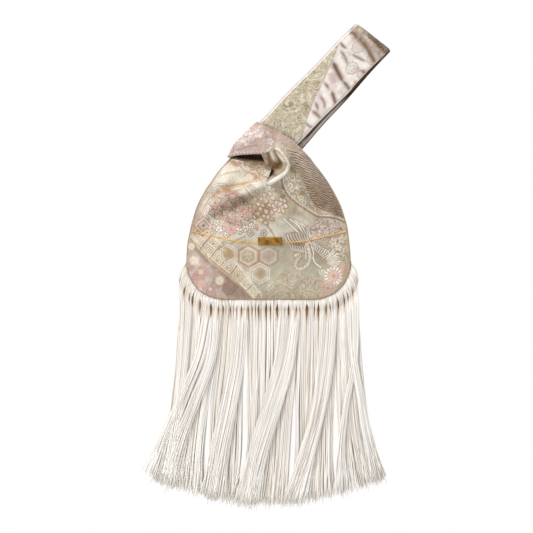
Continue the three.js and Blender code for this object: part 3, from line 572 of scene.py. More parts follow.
    def marble(self, pitch, width, seed, shade, inside=1.0, lift=0.5, share=1.0):
        """Marbled lines about pitch apart: an uneven waver is cut in even levels,
        and a thread runs along each level."""
        waver = drift(self.spots, 6 * pitch, seed) * 2.1
        level = np.abs(waver - np.round(waver)) * pitch * 0.86
        self.lay(cover(level - width / 2) * inside, shade, lift, share)

    def swirl(self, x, y, size, shade, width=0.7, share=1.0, turns=1.6):
        """A scroll: a line whose distance from its centre grows evenly with angle."""
        where, a, b = self.about(x, y, size + 1)
        away = np.hypot(a, b)
        pitch = size / turns
        gap = np.abs((away / pitch - np.arctan2(b, a) / (2 * math.pi) + 0.5) % 1.0 - 0.5) * pitch
        self.lay(cover(gap - width / 2 - 0.5) * (away < size), "tan", 0.2, 0.7 * share, where)
        self.lay(cover(gap - width / 2) * (away < size), shade, 0.7, share, where)


def zone(spots, points, soft=2.5):
    """1 inside a closed line and 0 outside, with a soft edge."""
    points = np.asarray(points, float)
    gap, _ = nearest(spots, points, closed=True)
    return np.clip(0.5 - np.where(inside_of(spots, points), -gap, gap) / soft, 0, 1)


def lay_grounds(loom, spots):
    """Grounds, with painted highlight where the satin ridges catch light and painted shade, browner, in the
    folds.
    """
    x, y = spots.T
    loom.lay(zone(spots, [(268, 215), (330, 215), (345, 262), (300, 300), (250, 300), (256, 262)], 14), "sage",
             share=0.8)
    loom.lay(ease(y, 284, 300) * ease(x, 250, 262), "olive", share=0.7)
    loom.lay(ease(y, 222, 246) * ease(x, 262, 284) * ease(y, 276, 258), "olive", share=0.5)
    low_ground = zone(spots, [(262, 268), (330, 262), (350, 280), (320, 300), (256, 300)], 6)
    high_ground = zone(spots, [(206, 190), (250, 196), (262, 216), (250, 234), (226, 238), (204, 226)], 6)
    loom.scroll = np.maximum(0.5 * low_ground * ease(y, 266, 282), 0.55 * high_ground)
    # Most of these patches are painted light: ivory and silver as painted highlight on the satin ridges, tan
    # and olive as painted shade in the fold valleys.
    for points, soft, shade, share in (
        ([(236, 188), (268, 182), (276, 190), (262, 196), (244, 196)], 5, "ivory", 0.95),
        ([(258, 186), (272, 188), (270, 194), (256, 195)], 4, "sage", 0.6),
        ([(222, 240), (240, 232), (262, 225), (286, 219), (296, 232), (284, 238), (250, 239)], 5, "ivory", 0.8),
        ([(290, 206), (312, 216), (316, 226), (300, 226), (290, 216)], 5, "ivory", 0.45),
        ([(206, 213), (215, 216), (213, 226), (206, 223)], 3, "silver", 0.9),
        ([(242, 198), (260, 197), (274, 206), (272, 222), (262, 226), (252, 218), (242, 206)], 6, "tan", 0.9),
        ([(276, 190), (290, 200), (300, 210), (296, 216), (282, 214), (274, 202)], 5, "olive", 0.6),
        ([(288, 209), (302, 213), (304, 217), (288, 214)], 4, "tan", 0.6),
        ([(204, 228), (226, 242), (224, 248), (212, 240)], 5, "tan", 0.5),
        ([(222, 226), (240, 232), (236, 238), (222, 236)], 5, "champagne", 0.6),
    ):
        loom.lay(zone(spots, points, soft), shade, share=share)


def lay_lower_left(loom, spots):
    """Mauve and pink patch of the lower left."""
    y = spots[:, 1]
    lower_left = zone(spots, [(186, 236), (193.5, 238.5), (203, 254), (216, 266.5), (228, 276), (241, 287),
                              (253, 299), (252, 310), (180, 310)], 1.6)
    loom.lay(lower_left, "mauve", 0.2)
    loom.lay(lower_left * ease(drift(spots, 16, 31), -0.2, 0.5), "silver", 0.2, 0.75)
    loom.lay(lower_left * zone(spots, [(222, 274), (246, 284), (256, 300), (232, 300)], 8), "dusk", 0.1, 0.85)
    loom.lay(lower_left * ease(y, 290, 299), "dusk", 0.1, 0.4)


def lay_right_patch(loom, spots):
    """Marbled patch of the right side, under the scalloped line."""
    right_patch = zone(spots, [(306, 226), (318, 219), (342, 221), (350, 240), (334, 242), (312, 240)], 4)
    loom.lay(right_patch, "mauve", 0.2, 0.75)
    loom.scroll = np.maximum(loom.scroll, 0.9 * right_patch)


def lay_left_shoulder(loom, spots):
    """Left shoulder: cream with yellow threads, painted shade tan towards the knot and brown to umber by the
    tunnel.
    """
    x, y = spots.T
    left_top = zone(spots, [(226, 156), (274, 166), (270, 182), (250, 187), (232, 190), (214, 190), (208, 186)],
                    3)
    loom.lay(left_top, "cream", 0.2, 0.9)
    # Painted shade: tan towards the knot and the top, brown along the tunnel's edge.
    tan_part = zone(spots, [(238, 158), (276, 164), (274, 184), (262, 181), (256, 172), (244, 168)], 6)
    loom.lay(left_top * tan_part, "tan", 0.1, 0.75)
    loom.lay(left_top * ease(y, 168, 158), "tan", 0.1, 0.6)
    to_tunnel, _ = nearest(spots, tunnel_line)
    loom.lay(left_top * ease(to_tunnel, 8, 1) * ease(x, 238, 252), "brown", 0.0, 0.85)
    loom.lay(left_top * zone(spots, [(218, 184), (236, 182), (252, 180), (250, 187), (232, 190)], 3), "gold",
             0.2, 0.4)
    along, across = x + y + 0.8 * drift(spots, 9, 54), x - 0.8 * y
    dashes = np.sin(2 * math.pi * along / 2.9) * np.sin(2 * math.pi * across / 3.7)
    loom.lay(left_top * ease(dashes, 0.1, 0.6), "white", 0.9, 0.85)
    loom.lay(left_top * ease(-dashes, 0.25, 0.8) * ease(drift(spots, 14, 52), -0.6, 0.2), "gold", 0.5, 0.7)
    loom.scroll = np.maximum(loom.scroll, 0.85 * left_top * ease(x + 0.8 * (170 - y), 238, 252))
    # Painted shade: umber right under the tunnel's edge.
    loom.lay(left_top * ease(to_tunnel, 5, 0.5) * ease(x, 244, 256), "umber", 0.0, 0.55)
    for points in ([(214, 178), (226, 173.5), (240, 171)], [(240, 166), (246, 172), (254, 173), (262, 170)],
                   [(246, 164), (254, 168), (260, 176), (257, 181)], [(222, 187), (236, 184.5), (252, 182)],
                   [(244, 176), (250, 171), (257, 168)]):
        loom.line(points, 0.8, "gold", 0.6, 0.9)
        loom.line([(px + 0.3, py + 1.1) for px, py in points], 0.6, "brown", 0.1, 0.45)


def lay_left_bands(loom, spots):
    """Bands of the left edge: a silk strip and a dashed border."""
    x, y = spots.T
    strip = zone(spots, [(221, 172), (217, 184), (208, 199), (199, 216), (193, 234), (188, 236), (190, 222),
                         (198, 204), (210, 184)], 1.5)
    loom.lay(strip, "silver", 0.0, 0.9)
    # Painted shade: the strip goes tan towards the outer edge, where the side curves away, and browner lower
    # down.
    loom.lay(strip * ease(x + 0.55 * (y - 200), 208, 199), "tan", 0.0, 0.9)
    loom.lay(strip * ease(y, 206, 226) * ease(x + 0.55 * (y - 200), 200, 205), "brown", 0.0, 0.4)
    border = zone(spots, [(219, 183), (209, 200), (201, 215), (193, 236), (198, 237), (207, 216), (216, 201),
                          (227, 186)], 1.5)
    loom.lay(border, "rose", 0.3, 0.9)
    stitches = np.sin(2 * math.pi * (0.85 * x - y + drift(spots, 7, 58)) / 2.7)
    loom.lay(border * ease(stitches, 0.0, 0.5), "white", 0.9, 0.9)
    loom.lay(border * ease(-stitches, 0.3, 0.7) * ease(drift(spots, 9, 57), -0.5, 0.2), "coral", 0.2, 0.6)
    loom.line([(219.5, 184.5), (210, 199.5), (202, 214.5), (194.5, 233)], 0.9, "cream", 0.8, 1.0, "dusk")
    loom.line([(226.5, 187.5), (217.5, 201), (208.6, 216), (200, 235)], 0.7, "cream", 0.8, 1.0, "dusk")


def lay_ribbed_patch(loom, spots):
    """Brown ribbed patch of the right shoulder."""
    x, y = spots.T
    ribbed = zone(spots, [(287, 150), (300, 152), (309.5, 156), (318, 168), (330, 184), (342, 206), (347, 224),
                          (343, 221), (333.9, 214.8), (318.6, 209.4), (313.2, 205.4), (307.8, 193), (301, 180),
                          (293, 165)], 1.2)
    loom.lay(ribbed, "brown", 0.0)
    slanting = y - 0.42 * x + 0.5 * drift(spots, 14, 61)
    rib = np.sin(2 * math.pi * (slanting + 0.35 * drift(spots, 5, 66) + 0.8 * drift(spots, 30, 62)) / 2.2)
    loom.lay(ribbed * ease(rib, -0.3, 0.7), "tan", 1.0, 0.85)
    loom.lay(ribbed * ease(rib, 0.5, 1.0) * ease(drift(spots, 6, 63), -0.6, 0.4), "silver", 1.2, 0.6)
    loom.lay(ribbed * ease(rib, -0.5, -1.0), "umber", -0.3, 0.75)
    loom.lay(ribbed * ease(y - 0.5 * (x - 300), 184, 160) * ease(rib, -0.6, 0.2), "silver", 0.6, 0.5)


def lay_scroll_patch(loom, spots):
    """Silver patch with scrolls, between the ribs and the scalloped line."""
    scrolls = zone(spots, [(281, 176), (288, 160), (293, 165), (301, 180), (307.8, 193), (313.2, 205.2),
                           (318.6, 209), (334, 214.4), (345, 221), (337.7, 219.8), (318.6, 216.5), (298.7, 206),
                           (288, 198.5), (282.6, 190)], 1.5)
    loom.lay(scrolls, "olive", 0.2)
    loom.lay(scrolls * ease(drift(spots, 11, 70), -0.3, 0.5), "sage", 0.2, 0.8)
    loom.scroll = np.maximum(loom.scroll * (1 - scrolls), 0.75 * scrolls)
    beside_roll = zone(spots, [(281, 146), (288, 149), (294, 164), (291, 178), (287, 170), (288.5, 160)], 3)
    loom.lay(beside_roll, "tan", 0.2, 0.4)
    loom.scroll = np.maximum(loom.scroll, 0.95 * beside_roll)
    for sx, sy, size in ((289.4, 186, 4.4), (292.5, 178, 3.4), (303, 203, 3.8), (301, 197.5, 3.4),
                         (286, 178.5, 2.6), (297, 188, 2.8)):
        loom.swirl(sx, sy, size, "white", 0.75, 0.95)
    for gx, gy in ((298.7, 194.4), (302.5, 193.6), (296, 191.4), (293.6, 171), (290.6, 168)):
        loom.petal(gx, gy, 1.5, 0.9, 30, "gold", 0.8, "brown", 0.9)
    cloud = zone(spots, [(300, 205), (309, 209), (318, 211), (330, 214), (345, 221.5), (330, 217.4),
                         (318.6, 216.8), (306, 211.4)], 1.2)
    loom.lay(cloud, "rose", 0.5, 0.55)
    loom.lay(cloud, "tan", 0.5, 0.45)
    edge_line = [(280, 172), (281.6, 182), (283.6, 189.5), (290, 198.8), (298.8, 205.6), (308.8, 212),
                 (317.5, 216.8), (327.5, 217.3), (337.5, 219.4), (345, 223.2), (348, 226)]
    loom.line(edge_line, 1.5, "slate", 0.6, 0.95)
    loom.line([(px + 1.7, py - 1.5) for px, py in edge_line[:-1]], 1.0, "cream", 1.0, 0.95, "brown")
    loom.line([(px + 1.0, py - 0.7) for px, py in edge_line[2:-3]], 0.6, "gold", 0.8, 0.6)
    loom.line([(267.5, 181), (272.5, 186.6), (279, 189.4), (284, 191.6)], 1.5, "rose", 0.8, 0.9, "brown")


def lay_short_handle(loom, spots):
    """Short handle: dusty pink with pale blossoms."""
    band = zone(spots, [(226, 156), (238, 137), (256, 120), (290, 138), (312, 160), (304, 155.5), (290, 149.5),
                        (274, 145), (264, 153), (240, 155)], 1.6)
    loom.lay(band, "pink", 0.2)
    loom.lay(band * ease(drift(spots, 12, 81), -0.1, 0.6), "mauve", 0.1, 0.6)
    loom.lay(band * ease(drift(spots, 8, 82), 0.3, 0.9), "rose", 0.1, 0.7)
    loom.scroll = np.maximum(loom.scroll, 0.3 * band)
    loom.lay(zone(spots, [(272, 141), (284, 144), (291, 149.5), (284, 150), (274, 146)], 2), "champagne", 0.2,
             0.8)
    loom.lay(zone(spots, [(278, 142), (290, 144), (300, 149), (302, 153), (292, 151)], 2), "olive", 0.2, 0.8)
    for bx, by, size, shade in ((246.5, 132.5, 5.0, "white"), (252.5, 136.5, 5.2, "white"),
                                (258.6, 134.0, 5.2, "white"), (241, 139.5, 4.4, "white"),
                                (247, 142.5, 4.6, "white"), (262, 129, 3.8, "silver"),
                                (238, 146, 3.2, "silver"), (254, 129.5, 3.2, "rose"), (270, 142, 4.0, "white"),
                                (264.6, 143.2, 3.4, "silver"), (277, 138.4, 3.0, "rose"),
                                (252, 144, 3.2, "rose")):
        loom.blossom(bx, by, size, shade, "pink", "rose", 5, 20 * bx, 0.85)
        loom.line([(bx - size, by + 1), (bx, by - 0.6), (bx + size * 0.8, by - 1.4)], 0.6, "dusk", 0.1, 0.45)
    for points in ([(241, 134.5), (247, 137), (255.5, 139), (263, 137.5)],
                   [(262, 127.5), (276, 134.5), (290, 142), (302, 152.5)],
                   [(236, 150), (244, 147.5), (254, 147)]):
        loom.line(points, 0.7, "gold", 0.8, 0.5)
        loom.line([(px, py + 1.1) for px, py in points], 0.5, "dusk", 0.1, 0.5)
    for points in ([(258, 123.5), (270, 130.6), (284, 138), (297, 147.4), (308, 158.4)],
                   [(240, 150), (250, 146.6), (262, 147), (268, 148.6)]):
        loom.line(points, 0.7, "dusk", 0.0, 0.7)
    # Painted shade and highlight along the collar's folds.
    for points, width, deeper in (([(230, 152), (238, 149), (250, 150)], 3.5, -0.3),
                                  ([(266, 134), (278, 142), (286, 150)], 3.5, -0.14),
                                  ([(284, 137), (292, 145), (299, 152)], 4.5, 0.12),
                                  ([(240, 138), (248, 140), (258, 146)], 2.6, -0.16)):
        loom.deepen(points, width, deeper, 6)
    for k in range(8):
        loom.line([(251.6 + 2.2 * k, 151.4 - 0.3 * k), (253.6 + 2.2 * k, 147.6 - 0.35 * k)], 0.7, "white", 0.9,
                  0.5, "dusk")


def lay_key_fret(loom, spots):
    """Band of key fret between two gold lines."""
    band = zone(spots, [(193.5, 235.5), (203, 252.5), (214.4, 264), (228, 274.2), (241, 284.5), (254.5, 299),
                        (263, 299), (255.6, 288), (247, 277.5), (237.4, 265), (226, 250), (214, 237.6),
                        (205, 232), (196, 230)], 1.2)
    loom.lay(band, "tan", 0.1, 0.85)
    loom.lay(band * ease(drift(spots, 10, 91), -0.2, 0.5), "olive", 0.1, 0.5)
    for kx, ky, half, turn in ((197.8, 241.6, 5.0, 38), (208.5, 250, 5.1, 37), (219, 258, 5.1, 37),
                               (229.3, 265.6, 5.1, 37), (239.8, 273.2, 5.0, 39), (204.6, 233.4, 4.9, 38),
                               (215.4, 241.6, 5.0, 38), (246, 283.4, 4.2, 44), (253.4, 291.6, 4.2, 46),
                               (249.5, 278, 3.6, 40)):
        loom.key_square(kx, ky, half, turn, "cream")
        loom.key_square(kx, ky, half, turn, "gold", 0.5, (0.81, 0.43), 0.55)
    for points, width, shade in (
        ([(196.5, 240.6), (211.8, 258.2), (227.8, 272), (238.6, 281.2), (250, 292.6), (256.2, 298.6)], 0.8,
         "cream"),
        ([(195.2, 242.2), (210.6, 259.8), (226.8, 273.8), (237.6, 283), (249, 294.4), (252.2, 298.6)], 0.8,
         "gold"),
        ([(213.6, 237.4), (226, 249.4), (237.6, 264.4), (247.4, 277.2), (256, 287.6), (262, 296)], 0.8,
         "cream"),
    ):
        loom.line(points, width, shade, 0.9, 0.95)
    # Painted shadow: broad brown and dusk bands along the fret's lower edge, where it overlaps the pink.
    loom.line([(191.5, 240), (196.5, 248), (206, 259.4), (215.6, 267.6), (227.8, 278), (238, 287)], 2.6,
              "brown", 0.0, 0.6)
    loom.line([(191, 243), (199, 254.5), (208, 263.5), (220, 273.6)], 2.6, "dusk", 0.0, 0.5)


def lay_lozenge(loom, spots):
    """Lozenge of four squares by the left edge."""
    for half, shade, width in ((6.8, "coral", 1.0), (5.5, "cream", 0.8), (4.2, "dusk", 0.9),
                               (2.9, "rose", 0.9)):
        loom.key_square(203.4, 225.9, half, 47, shade, width, (1.0,), 0.95)
    loom.petal(203.6, 225.4, 1.8, 1.4, 0, "red", 0.8, "cream", 0.9)
    for dx, dy, shade in ((0, 0, "red"), (2.2, 1.4, "coral"), (4.0, -0.6, "brown"), (3.0, 3.6, "red"),
                          (-1.0, 3.6, "brown")):
        loom.petal(208.4 + dx, 229 + dy, 1.5, 0.9, 50, shade, 0.7, "rose", 0.85)


def lay_tortoiseshell(loom, spots):
    """Tortoiseshell cells with a blossom each, and gold flecks beside them."""
    for hx, hy, wide, tall, shade, fill, heart in (
        (229.0, 254.4, 8.2, 9.8, "cream", "champagne", "tan"),
        (268.6, 256.2, 9.2, 10.2, "tan", "mauve", "pink"),
        (260, 273.5, 9.6, 10.4, "cream", "champagne", "tan"),
        (248.5, 256.1, 9.8, 10.9, "coral", "champagne", "cream"),
    ):
        strong = 0.95 if shade in ("coral", "gold", "cream") else 0.6
        loom.hexagon(hx, hy, wide, tall, 1.0, shade, fill, strong)
        loom.blossom(hx, hy, 4.4, heart, "tan", "gold", 6, 15, 0.45 * strong)
        for k in range(6):
            angle = math.radians(45 + 60 * k)
            loom.petal(hx + 4.6 * math.cos(angle), hy + 4.9 * math.sin(angle), 1.3, 0.6, 45 + 60 * k,
                       "gold" if k % 2 else "tan", 0.7, None, 0.7 * strong)
    drops = np.random.default_rng(31)
    for k in range(46):
        fleck = (279 + 32 * drops.random() ** 0.8, 264 + 22 * drops.random(), 0.7 + 0.8 * drops.random())
        loom.petal(*fleck, 0.6, 180 * drops.random(), ("gold", "tan", "olive", "rose")[k % 4], 0.7, None, 0.6)
    for px, py, turn in ((226, 248.6, 40), (229.6, 251.6, 70), (232, 255.6, 10), (228, 258, 120),
                         (224.4, 254, 80)):
        loom.petal(px, py, 2.2, 0.9, turn, "gold", 0.8, "tan", 0.7)


def lay_lower_left_flowers(loom, spots):
    """Flowers of the lower left."""
    for cx, cy, size, shade, rim in ((201, 272, 6.4, "pink", "coral"), (219.8, 280.6, 7.0, "mauve", "dusk"),
                                     (210.4, 289, 8.0, "pink", "dusk"), (229, 288.4, 6.8, "dusk", "brown"),
                                     (195.4, 276.8, 4.2, "coral", "pink"), (201.6, 283.4, 4.2, "rose", "coral"),
                                     (190.4, 266.6, 4.4, "pink", "dusk"), (216, 271.4, 3.0, "pink", "dusk")):
        loom.blossom(cx, cy, size, shade, rim, shade, 7, 10, 0.65)
    for cx, cy, size in ((194.2, 260.7, 4.7), (201, 271.8, 3.0), (219.8, 280.6, 4.6), (191.6, 246.4, 3.6),
                         (210.4, 289, 1.8)):
        loom.rays(cx, cy, size, "cream", "gold", "cream", 13, "tan", 0.95, 0.2)
    loom.line([(206, 294), (214, 297), (224, 296)], 0.9, "gold", 0.7, 0.6)
    loom.line([(190, 251), (194, 253.6), (197, 256)], 1.0, "gold", 0.7, 0.7)


def lay_lower_right_flowers(loom, spots):
    """Flowers and waves of the lower right."""
    for cx, cy, size, shade, between in ((333.4, 275.8, 9.6, "white", "coral"),
                                         (327.8, 288.2, 7.6, "rose", "red"),
                                         (346.0, 269.3, 6.0, "rose", "coral")):
        loom.rays(cx, cy, size, shade, between, "gold", 15, "tan", 0.85, 0.16)
        loom.rays(cx, cy, size * 0.6, "rose", "coral", "gold", 11, "dusk", 0.7, 0.25)
    loom.swirl(322.3, 271.8, 3.4, "white", 0.8)
    for points in ([(300, 284), (302, 278), (307, 276.6), (310, 280.4), (306, 285)],
                   [(312, 285), (314.5, 279), (319, 278), (321, 282)],
                   [(271, 289), (277, 283.5), (285, 283.6), (291, 288), (298, 286)],
                   [(273, 294), (282, 289.6), (292, 292)], [(279, 275), (284, 272), (287, 277), (283, 280)],
                   [(300, 292), (308, 289.4), (316, 292), (322, 296)]):
        loom.line(points, 1.0, "rose", 0.8, 0.75, "tan")
        loom.line([(px + 0.6, py + 2.2) for px, py in points], 0.7, "gold", 0.6, 0.5, "olive")


def lay_right_rim(loom, spots):
    """Pale flowers by the right rim."""
    patch = zone(spots, [(326, 240), (346, 234), (350, 262), (330, 258)], 4)
    loom.scroll = np.maximum(loom.scroll, 0.9 * patch)
    for px, py, size in ((333, 242, 4.2), (341.5, 239.6, 4.2), (338, 247.5, 3.8), (345, 250, 3.2)):
        loom.blossom(px, py, size, "cream", "tan", "gold", 5, px * 20, 0.8)
    loom.lay(zone(spots, [(346, 221), (352, 230), (352, 298), (338, 290), (345, 262), (344, 240)], 2.0), "tan",
             0.1, 0.5)
    loom.petal(326.5, 245, 1.0, 0.9, 0, "gold", 0.8, None, 0.9)


def lay_bird(loom, spots):
    """The bird: long wing feathers, a fan of tail feathers, a looped neck and a leg."""
    loom.lay(zone(spots, [(284, 233), (300, 230), (311, 238), (313, 252), (303, 254), (291, 250)], 3), "brown",
             0.1, 0.55)
    loom.lay(zone(spots, [(311, 242), (326, 250), (340, 254), (336, 264), (322, 264), (312, 254)], 4), "tan",
             0.1, 0.6)
    for points, wide in (([(283.8, 219.2), (292, 227), (300.5, 234.5)], 1.9),
                         ([(289.5, 219.5), (297.4, 225), (303.4, 234)], 1.7),
                         ([(294.5, 220.5), (301.4, 226), (306, 234.5)], 1.5),
                         ([(300.5, 223), (305.6, 228), (308, 235.4)], 1.4),
                         ([(306.5, 227.5), (309, 232), (309.8, 237.6)], 1.2)):
        loom.line(points, wide, "white", 0.9, 0.95, "brown")
    for k in range(9):
        x, y = 284.6 + 2.75 * k, 235.6 - 2.2 * math.sin(0.38 * k)
        loom.line([(x, y), (x + 1.6, y + 4.6), (x + 4.8, y + 9.2)], 1.0, "white" if k % 3 else "cream", 0.9,
                  0.95, "brown")
    for k in range(7):
        x, y = 289.6 + 2.5 * k, 245.0 + 0.4 * k
        loom.line([(x, y), (x + 1.6, y + 4.0), (x + 6.0, y + 6.6)], 0.95, "white", 0.9, 0.9, "brown")
    for k in range(8):
        x, y = 312.0 + 2.2 * k, 241.6 + 1.3 * k
        loom.line([(x, y), (x + 1.4, y + 3.6), (x + 1.6 - 0.9 * k, y + 7.4)], 1.0,
                  "white" if k % 2 else "cream", 0.9, 0.95, "brown")
    for k in range(8):
        angle = math.radians(20 - 10 * k)
        reach = 13.5 + 1.5 * (k % 3)
        bends = ((4.0, 0.2), (0.6 * reach, 0.06), (reach, 0.0))
        path = [(323.5 + r * math.cos(angle + bend), 261.5 + r * math.sin(angle + bend)) for r, bend in bends]
        loom.line(path, 1.3, ("white", "cream", "white")[k % 3], 0.8, 0.9, "tan")
    neck = smooth_line([(306.4, 245), (309.0, 252), (309.6, 259), (307.2, 265), (301.5, 268.6), (296.6, 268.0),
                        (295.0, 264.4), (296.8, 260.2), (299.6, 257.0), (298.4, 254.6), (295.8, 255.6)], 34)
    loom.line(neck[::3].tolist(), 3.3, "ivory", 0.9, 0.95, "brown")
    for here, ahead in zip(neck[1:-1:2], neck[2::2]):
        turn = math.degrees(math.atan2(ahead[1] - here[1], ahead[0] - here[0]))
        loom.petal(here[0] + 0.5, here[1], 0.5, 1.4, turn + 30, "white", 1.1, "tan", 0.8)
    for points in ([(304.6, 246.5), (305.6, 253), (305.8, 259.4)],
                   [(311.2, 246.0), (313.2, 252.6), (313.0, 260.6)]):
        loom.line(points, 1.2, "white", 0.9, 0.9, "brown")
    loom.line([(312.8, 257.4), (315.0, 263), (320.2, 267)], 1.9, "white", 0.9, 0.95, "brown")


def lay_plum(loom, spots):
    """Plum blossoms and branches of the middle."""
    for points in ([(245.4, 236.6), (238, 239.6), (230.9, 244.3)], [(267.3, 225.9), (271, 231), (274.5, 236.5)],
                   [(228, 200), (238, 206), (250, 212), (262, 219)],
                   [(250, 200), (257, 207), (263, 216), (268, 226)],
                   [(212, 212), (222, 215), (236, 222), (248, 230)], [(236, 194), (244, 200), (256, 206)],
                   [(216, 196), (226, 203), (236, 212), (243, 218)],
                   [(208, 204), (219, 210), (231, 219), (240, 229)], [(246, 190), (252, 197), (262, 203)]):
        loom.line(points, 0.7, "gold", 0.7, 0.6, "brown")
    rng = np.random.default_rng(17)
    for fx, fy, size, turn in ((264.6, 195.3, 2.5, 20), (270.0, 194.2, 2.5, 60), (272.8, 198.7, 2.7, 10),
                               (266.6, 201.6, 2.6, 100), (273.8, 190.0, 2.4, 0), (261.4, 199.0, 2.2, 40),
                               (258.5, 204.5, 2.4, 30), (260.7, 209.8, 2.6, 50), (266.1, 211.9, 2.5, 10),
                               (258.5, 214.4, 2.6, 70), (268.4, 217.5, 2.4, 20), (263.0, 206.0, 2.2, 0),
                               (261.5, 220.1, 2.5, 40), (265.8, 223.4, 2.2, 0), (284.0, 201.0, 2.7, 0),
                               (280.8, 199.9, 2.2, 30), (255.3, 199.4, 2.2, 0), (272, 212.6, 2.3, 40),
                               (285.4, 206.4, 2.5, 20), (283.0, 211.4, 2.3, 80), (269.6, 205.8, 2.3, 15),
                               (257.6, 192.6, 2.0, 0), (264.0, 216.6, 2.1, 60), (272.0, 219.4, 2.0, 0)):
        loom.petal(fx, fy, size, size * (0.6 + 0.3 * rng.random()), turn + 40 * rng.random(),
                   "rose" if rng.random() < 0.5 else "champagne", 0.9, "brown", 0.9)
        loom.petal(fx - 0.5, fy - 0.5, size * 0.5, size * 0.3, turn, "cream", 1.1, None, 0.4)
    for fx, fy in ((262.4, 212.4), (264.2, 219), (260.4, 216.8), (267.4, 207.6), (255.8, 209)):
        loom.petal(fx, fy, 1.6, 1.3, 20, "gold", 0.9, "brown", 0.8)
    loom.blossom(277.6, 207.0, 6.0, "rose", "brown", "coral", 6, 12, 0.95)
    for k in range(8):
        angle = math.radians(20 + 45 * k)
        loom.line([(277.6 + 0.8 * math.cos(angle), 207 + 0.8 * math.sin(angle)),
                   (277.6 + 3.6 * math.cos(angle), 207 + 3.6 * math.sin(angle))], 0.6, "dusk", 0.8, 0.9)
    coral_at = ((229.4, 193.8, 2.6, 30), (232.5, 197.2, 2.6, 45), (236.6, 195.2, 2.6, 35),
                (240.2, 196.8, 2.4, 30), (217.4, 206.4, 2.6, 70), (220.2, 209.4, 2.5, 55),
                (225.9, 207.6, 2.6, 45), (229.4, 210.4, 2.8, 40), (232.8, 213.0, 2.4, 40),
                (242.1, 209.6, 3.0, 45), (246.0, 212.4, 3.1, 45), (249.6, 215.6, 3.0, 45),
                (245.6, 207.6, 2.4, 30), (222.6, 216.4, 3.0, 55), (226.2, 218.8, 3.2, 55),
                (229.4, 221.6, 2.8, 50), (217.6, 218.3, 2.4, 70), (235.0, 217.6, 2.4, 45),
                (238.4, 224.8, 2.7, 30), (241.0, 214.2, 2.4, 45), (256.2, 227.6, 2.2, 60),
                (213.6, 208.8, 2.2, 60), (224.0, 201.2, 2.4, 40), (238.0, 203.6, 2.4, 40),
                (233.6, 205.4, 2.2, 40), (252.4, 211.4, 2.2, 50), (215.2, 212.6, 2.2, 60),
                (238.0, 219.6, 2.2, 40))
    for fx, fy, size, turn in coral_at:
        loom.petal(fx, fy, size + 0.5, size * 0.55 + 0.5, turn, "rose", 0.8, "brown", 0.95)
        loom.petal(fx, fy, size, size * 0.5, turn, "coral" if rng.random() < 0.7 else "red", 1.0, None, 0.95)
        loom.petal(fx + 0.6, fy - 0.7, size * 0.5, size * 0.16, turn, "rose", 1.1, None, 0.7)
    for fx, fy, size, turn in ((242.0, 200.6, 2.4, 50), (246.0, 203.4, 2.2, 50), (227.4, 197.4, 2.2, 40),
                               (222.0, 205.4, 2.0, 50), (250.4, 206.4, 2.2, 45), (254.6, 217.6, 2.4, 60),
                               (247.4, 219.2, 2.3, 20), (234.4, 209.2, 2.0, 40), (220.8, 213.2, 2.0, 50),
                               (213.6, 216.0, 2.0, 60), (232.6, 225.0, 2.2, 30)):
        loom.petal(fx, fy, size, size * 0.6, turn, "olive", 0.8, "umber", 0.85)
        loom.petal(fx - 0.4, fy - 0.3, size * 0.6, size * 0.22, turn, "cream", 1.0, None, 0.7)
    loom.blossom(231.7, 229.9, 5.2, "pink", "coral", "coral", 6, 25, 0.95)
    loom.petal(245.4, 222.6, 4.2, 2.2, 20, "mauve", 0.9, "brown", 0.9)
    loom.petal(223.6, 229.2, 3.0, 2.2, 50, "pink", 0.9, "coral", 0.8)
    for fx, fy, size in ((216.6, 222.6, 3.2), (219.4, 229.6, 3.6), (245.6, 228.9, 3.4), (250.6, 233.6, 3.2),
                         (225.2, 212.6, 2.6), (211.8, 212.6, 2.6), (240.4, 231.4, 3.0), (226.4, 235.0, 2.8),
                         (212.4, 200.4, 3.0), (217.8, 200.8, 2.6), (251.6, 226.0, 3.0), (213.4, 233.2, 2.4)):
        loom.blossom(fx, fy, size, "white", "brown", "gold", 5, fx * 30, 0.9)
    loom.blossom(263.8, 233.2, 3.2, "ivory", "slate", "slate", 5, 0, 0.9)
    loom.petal(282.6, 196.2, 1.5, 1.0, 0, "gold", 0.9, "brown")
    for points in ([(248.9, 187.2), (254.5, 193.3), (257.2, 195.4)],
                   [(251.6, 185.6), (256.9, 191.2), (259.6, 193.2)]):
        loom.line(points, 0.9, "white", 1.0, 0.95, "brown")


def lay_shoulder_flowers(loom, spots):
    """Flowers of the left shoulder."""
    for fx, fy, size, turn in ((233.6, 163.0, 2.5, 10), (238.4, 164.0, 2.6, 10), (235.8, 166.0, 2.0, 10),
                               (255.4, 176.2, 2.8, 30), (258.6, 179.0, 2.4, 60), (254.4, 179.6, 2.2, 100),
                               (259.4, 175.4, 2.0, 0)):
        loom.petal(fx, fy, size, size * 0.65, turn, "pink", 0.9, "coral", 0.6)
        loom.petal(fx, fy, size * 0.5, size * 0.3, turn, "coral", 1.0, None, 0.8)
        loom.petal(fx - 0.9, fy + 1.0, 1.1, 0.4, turn + 60, "white", 1.0, "gold", 0.8)
        loom.petal(fx + 1.2, fy - 0.8, 0.9, 0.4, turn + 20, "cream", 1.0, "brown", 0.6)
    loom.line([(250.6, 184.8), (247, 186.8), (240, 189.6), (233, 191.6)], 1.0, "coral", 0.6, 0.85)
    loom.line([(212, 186.6), (219, 184.6), (226, 185.6)], 1.0, "white", 0.6, 0.9, "dusk")
    loom.line([(211, 190), (217, 187.8), (223, 188)], 0.8, "white", 0.6, 0.9, "dusk")
    for fx, fy, size, turn in ((219, 192.4, 2.4, -20), (224.6, 190.6, 2.4, -20), (214.0, 196.4, 2.2, -40),
                               (228.6, 189.8, 1.8, 0)):
        loom.petal(fx, fy, size, size * 0.6, turn, "coral", 0.8, "gold", 0.8)


